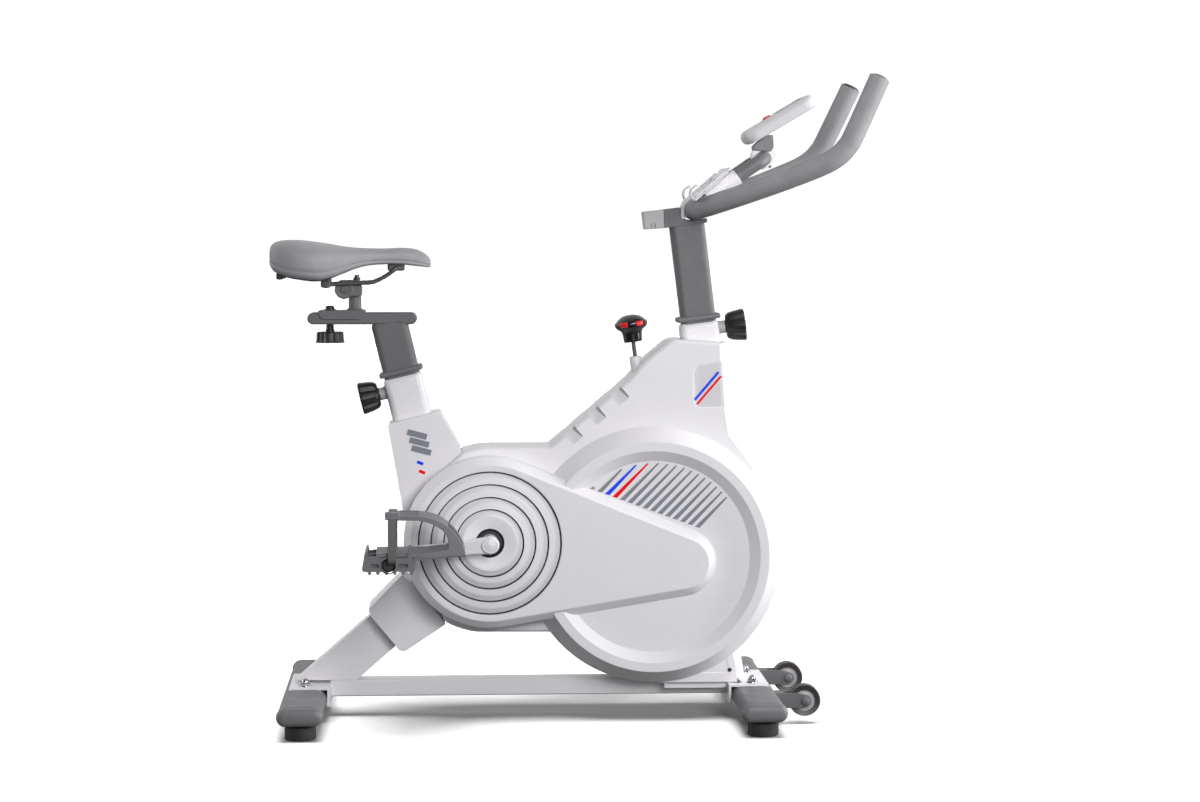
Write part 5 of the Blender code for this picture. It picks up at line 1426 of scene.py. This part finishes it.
def build_console():
    console_case()
    glass = console_mesh(pill(0.0225, 0.029, 0.0055, 0.027), 0.0092, 0.0106)
    soften(to_object("console_glass", glass, SCREEN, "console"), 0.0005, 2)
    bezel = console_mesh(pill(0.0265, 0.033, 0.009, 0.027), 0.01, 0.0118)
    bezel = to_object("console_bezel", bezel, PALE_GREY, "console")
    carve(bezel, [console_mesh(pill(0.0226, 0.0291, 0.0055, 0.027), 0.0, 0.03)])
    soften(bezel, 0.0006, 3)
    normal = (CONSOLE_PLACE.to_3x3() @ UP).normalized()
    spot = CONSOLE_PLACE @ Vector((BUTTON_AT, 0, 0.0072))
    well = [(0.0084, 0.0), (0.0102, 0.0), (0.0105, 0.0038), (0.01, 0.0047), (0.009, 0.0047), (0.0084, 0.0038)]
    lathe("console_well", well, spot, normal, PALE_GREY, "console", 40)
    button = [(0, -0.003), (0.007, -0.003), (0.0073, 0.0046), (0.007, 0.0062), (0.0054, 0.0071),
              (0.0028, 0.0075), (0, 0.0076)]
    obj = lathe("console_push", button, spot, normal, RED, "console_button", 40)
    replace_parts(obj, "console_button")
    build_console_neck()


def build_console_neck():
    neck = rounded([(0.3, 0.943), (0.2985, 0.95), (0.32, 0.969), (0.333, 0.969), (0.3345, 0.948),
                    (0.329, 0.941)],
                   [0.002, 0.003, 0.002, 0.002, 0.004, 0.002])
    plate("console_neck", neck, -0.0125, 0.0125, PLASTIC_GREY, "console", 0.003, 4)
    x0, z0 = LOOP_PATH[-1][0], LOOP_PATH[-1][2]
    jaw = [(0.006, 0.0175), (0.015, 0.017), (0.0228, 0.0075), (0.016, -0.007), (0.008, -0.0152),
           (0.0, -0.019), (-0.009, -0.016), (-0.018, -0.006), (-0.0205, 0.006), (-0.016, 0.015),
           (-0.006, 0.018)]
    outline = rounded([(x0 + x, z0 + z) for x, z in jaw], 0.0022, 3)
    clip = plate("console_clip", outline, -0.0112, 0.0112, PAINT, "console", 0.0, 3, 25)
    carve(clip, [plate_mesh(arc((x0, z0), 0.0117, 0, 352.5, 47), -0.02, 0.02)], smooth=25)
    soften(clip, 0.001, 3)
    start = Vector((x0 + 0.01, 0, z0 - 0.011))
    rod("clip_screw", start, start + Vector((0.0034, 0, -0.004)), 0.0028, DARK_STEEL, "console", 24, 0.0006)


def strip(name, a, b, width, ink, y):
    """Printed stripe from a to b, just proud of the face at y."""
    a, b = Vector(a), Vector(b)
    n = Vector((-(b - a).y, (b - a).x)).normalized() * (width / 2)
    return plate(name, [tuple(p) for p in (a + n, b + n, b - n, a - n)], y + 0.0002, y - 0.0005, ink)


def build_marks():
    """Small plain graphics: the front badge stripes and the mark on the seat sleeve."""
    for name, a, b, width, ink in (("badge_blue", (0.2385, 0.577), (0.199, 0.5305), 0.004, BLUE_INK),
                                   ("badge_red", (0.2425, 0.57), (0.203, 0.5235), 0.0036, RED_INK)):
        decal = strip(name, a, b, width, ink, -SHELL_Y - 0.0003)
        for v in decal.data.vertices:
            v.co.y += badge_depth(v.co.x)
    face = -0.046
    for k in range(3):
        x, z = -0.276 + 0.0035 * k, 0.4785 - 0.0132 * k
        strip(f"sleeve_mark_{k}", (x, z), (x + 0.032, z - 0.0085), 0.0098, GREY_INK, face)
    strip("sleeve_blue", (-0.26, 0.429), (-0.25, 0.425), 0.005, BLUE_INK, face)
    strip("sleeve_red", (-0.257, 0.414), (-0.247, 0.41), 0.005, RED_INK, face)


# ---------------------------------------------------------------- studio

def studio_object(name, data, place=(0, 0, 0), turn=(0, 0, 0)):
    obj = bpy.data.objects.new(name, data)
    bpy.context.scene.collection.objects.link(obj)
    obj.location = place
    obj.rotation_euler = turn
    return obj


def emitter(name, place, target, size, power):
    lamp = bpy.data.lights.new(name, "AREA")
    lamp.shape = "RECTANGLE"
    lamp.size, lamp.size_y = size
    lamp.energy = power
    turn = (Vector(target) - Vector(place)).to_track_quat("-Z", "Y").to_euler()
    studio_object(name, lamp, place, turn)


FRONT_FILL, BACK_FILL, UNDER_SHARE = 0.02, 0.86, 0.3


def fill_light(world):
    """White wall behind the bike, a dark room in front of it."""
    world.use_nodes = True
    tree = world.node_tree
    coords = add(tree, "ShaderNodeTexCoord")
    split = add(tree, "ShaderNodeSeparateXYZ")
    tree.links.new(coords.outputs["Generated"], split.inputs["Vector"])
    strength = add(tree, "ShaderNodeMath", operation="MULTIPLY")
    spans = (("Y", -0.5, 0.5, FRONT_FILL, BACK_FILL), ("Z", -0.25, 0.05, UNDER_SHARE, 1.0))
    for i, (axis, start, end, low, high) in enumerate(spans):
        band = map_range(tree, split.outputs[axis], start, end, low, high, "SMOOTHSTEP")
        tree.links.new(band, strength.inputs[i])
    tree.links.new(strength.outputs["Value"], tree.nodes["Background"].inputs["Strength"])
    tree.nodes["Background"].inputs["Color"].default_value = (1, 1, 1, 1)


def set_piece(name, bm, mat):
    """Part of the set: it is seen and shadowed, but throws no light back on the bike."""
    obj = mesh_object(name, bm)
    obj.data.materials.append(mat)
    obj.visible_diffuse = False
    obj.visible_glossy = False
    obj.visible_transmission = False
    return obj


def build_backdrop():
    """Plain white surround far outside the set."""
    bm = bmesh.new()
    bmesh.ops.create_icosphere(bm, subdivisions=4, radius=70)
    mat, _, shader = nodes_of("backdrop_white")
    shader.inputs["Base Color"].default_value = (0, 0, 0, 1)
    shader.inputs["Emission Color"].default_value = (1, 1, 1, 1)
    shader.inputs["Emission Strength"].default_value = 1.05
    set_piece("backdrop", bm, mat).visible_shadow = False


def build_floor():
    bm = bmesh.new()
    bmesh.ops.create_grid(bm, x_segments=1, y_segments=1, size=40)
    mat, tree, shader = nodes_of("floor_white")
    tone = ramp(tree, noise_node(tree, 6.0, 3.0), (0.4,) * 3, (0.415,) * 3)
    tree.links.new(tone, shader.inputs["Base Color"])
    shader.inputs["Roughness"].default_value = 1.0
    shader.inputs["Specular IOR Level"].default_value = 0.0
    return set_piece("studio_floor", bm, mat)


def floor_wash(floor):
    """Broad overhead light for the floor alone, so that it stays white round soft contact shadows."""
    lamp = bpy.data.lights.new("floor_wash", "SUN")
    lamp.energy = 9.0
    lamp.angle = math.radians(38)
    obj = studio_object("floor_wash", lamp, turn=(math.radians(8), 0, 0))
    group = bpy.data.collections.new("floor_only")
    group.objects.link(floor)
    obj.light_linking.receiver_collection = group


def build_studio():
    """Plain pale floor, white surround and soft light from both sides and the front."""
    world = bpy.data.worlds.new("studio")
    bpy.context.scene.world = world
    fill_light(world)
    build_backdrop()
    floor_wash(build_floor())
    emitter("right_bank", (3.0, -0.3, 1.0), (0.1, 0, 0.45), (1.0, 2.0), 84)
    emitter("left_bank", (-3.0, 0.2, 1.0), (-0.1, 0, 0.5), (1.0, 2.0), 20)
    emitter("front_bank", (0.4, -4.2, 0.7), (0, 0, 0.4), (2.0, 1.2), 27)
    emitter("key", (1.3, -3.7, 2.0), (0, 0, 0.4), (1.7, 1.7), 108)


def build_camera():
    data = bpy.data.cameras.new("camera")
    data.sensor_width = 36
    data.lens = 86.4
    pitch, yaw = 3.61, 3.06
    turn = (math.radians(90 - pitch), 0, math.radians(-yaw))
    bpy.context.scene.camera = studio_object("camera", data, (-0.2115, -4.8, 0.829), turn)


def main():
    build_frame_tubes()
    build_base()
    build_shells()
    build_cranks()
    build_brake()
    build_knobs()
    build_seat()
    build_handlebar()
    build_marks()
    build_studio()
    build_camera()
    bpy.context.scene.view_settings.view_transform = "Standard"


main()
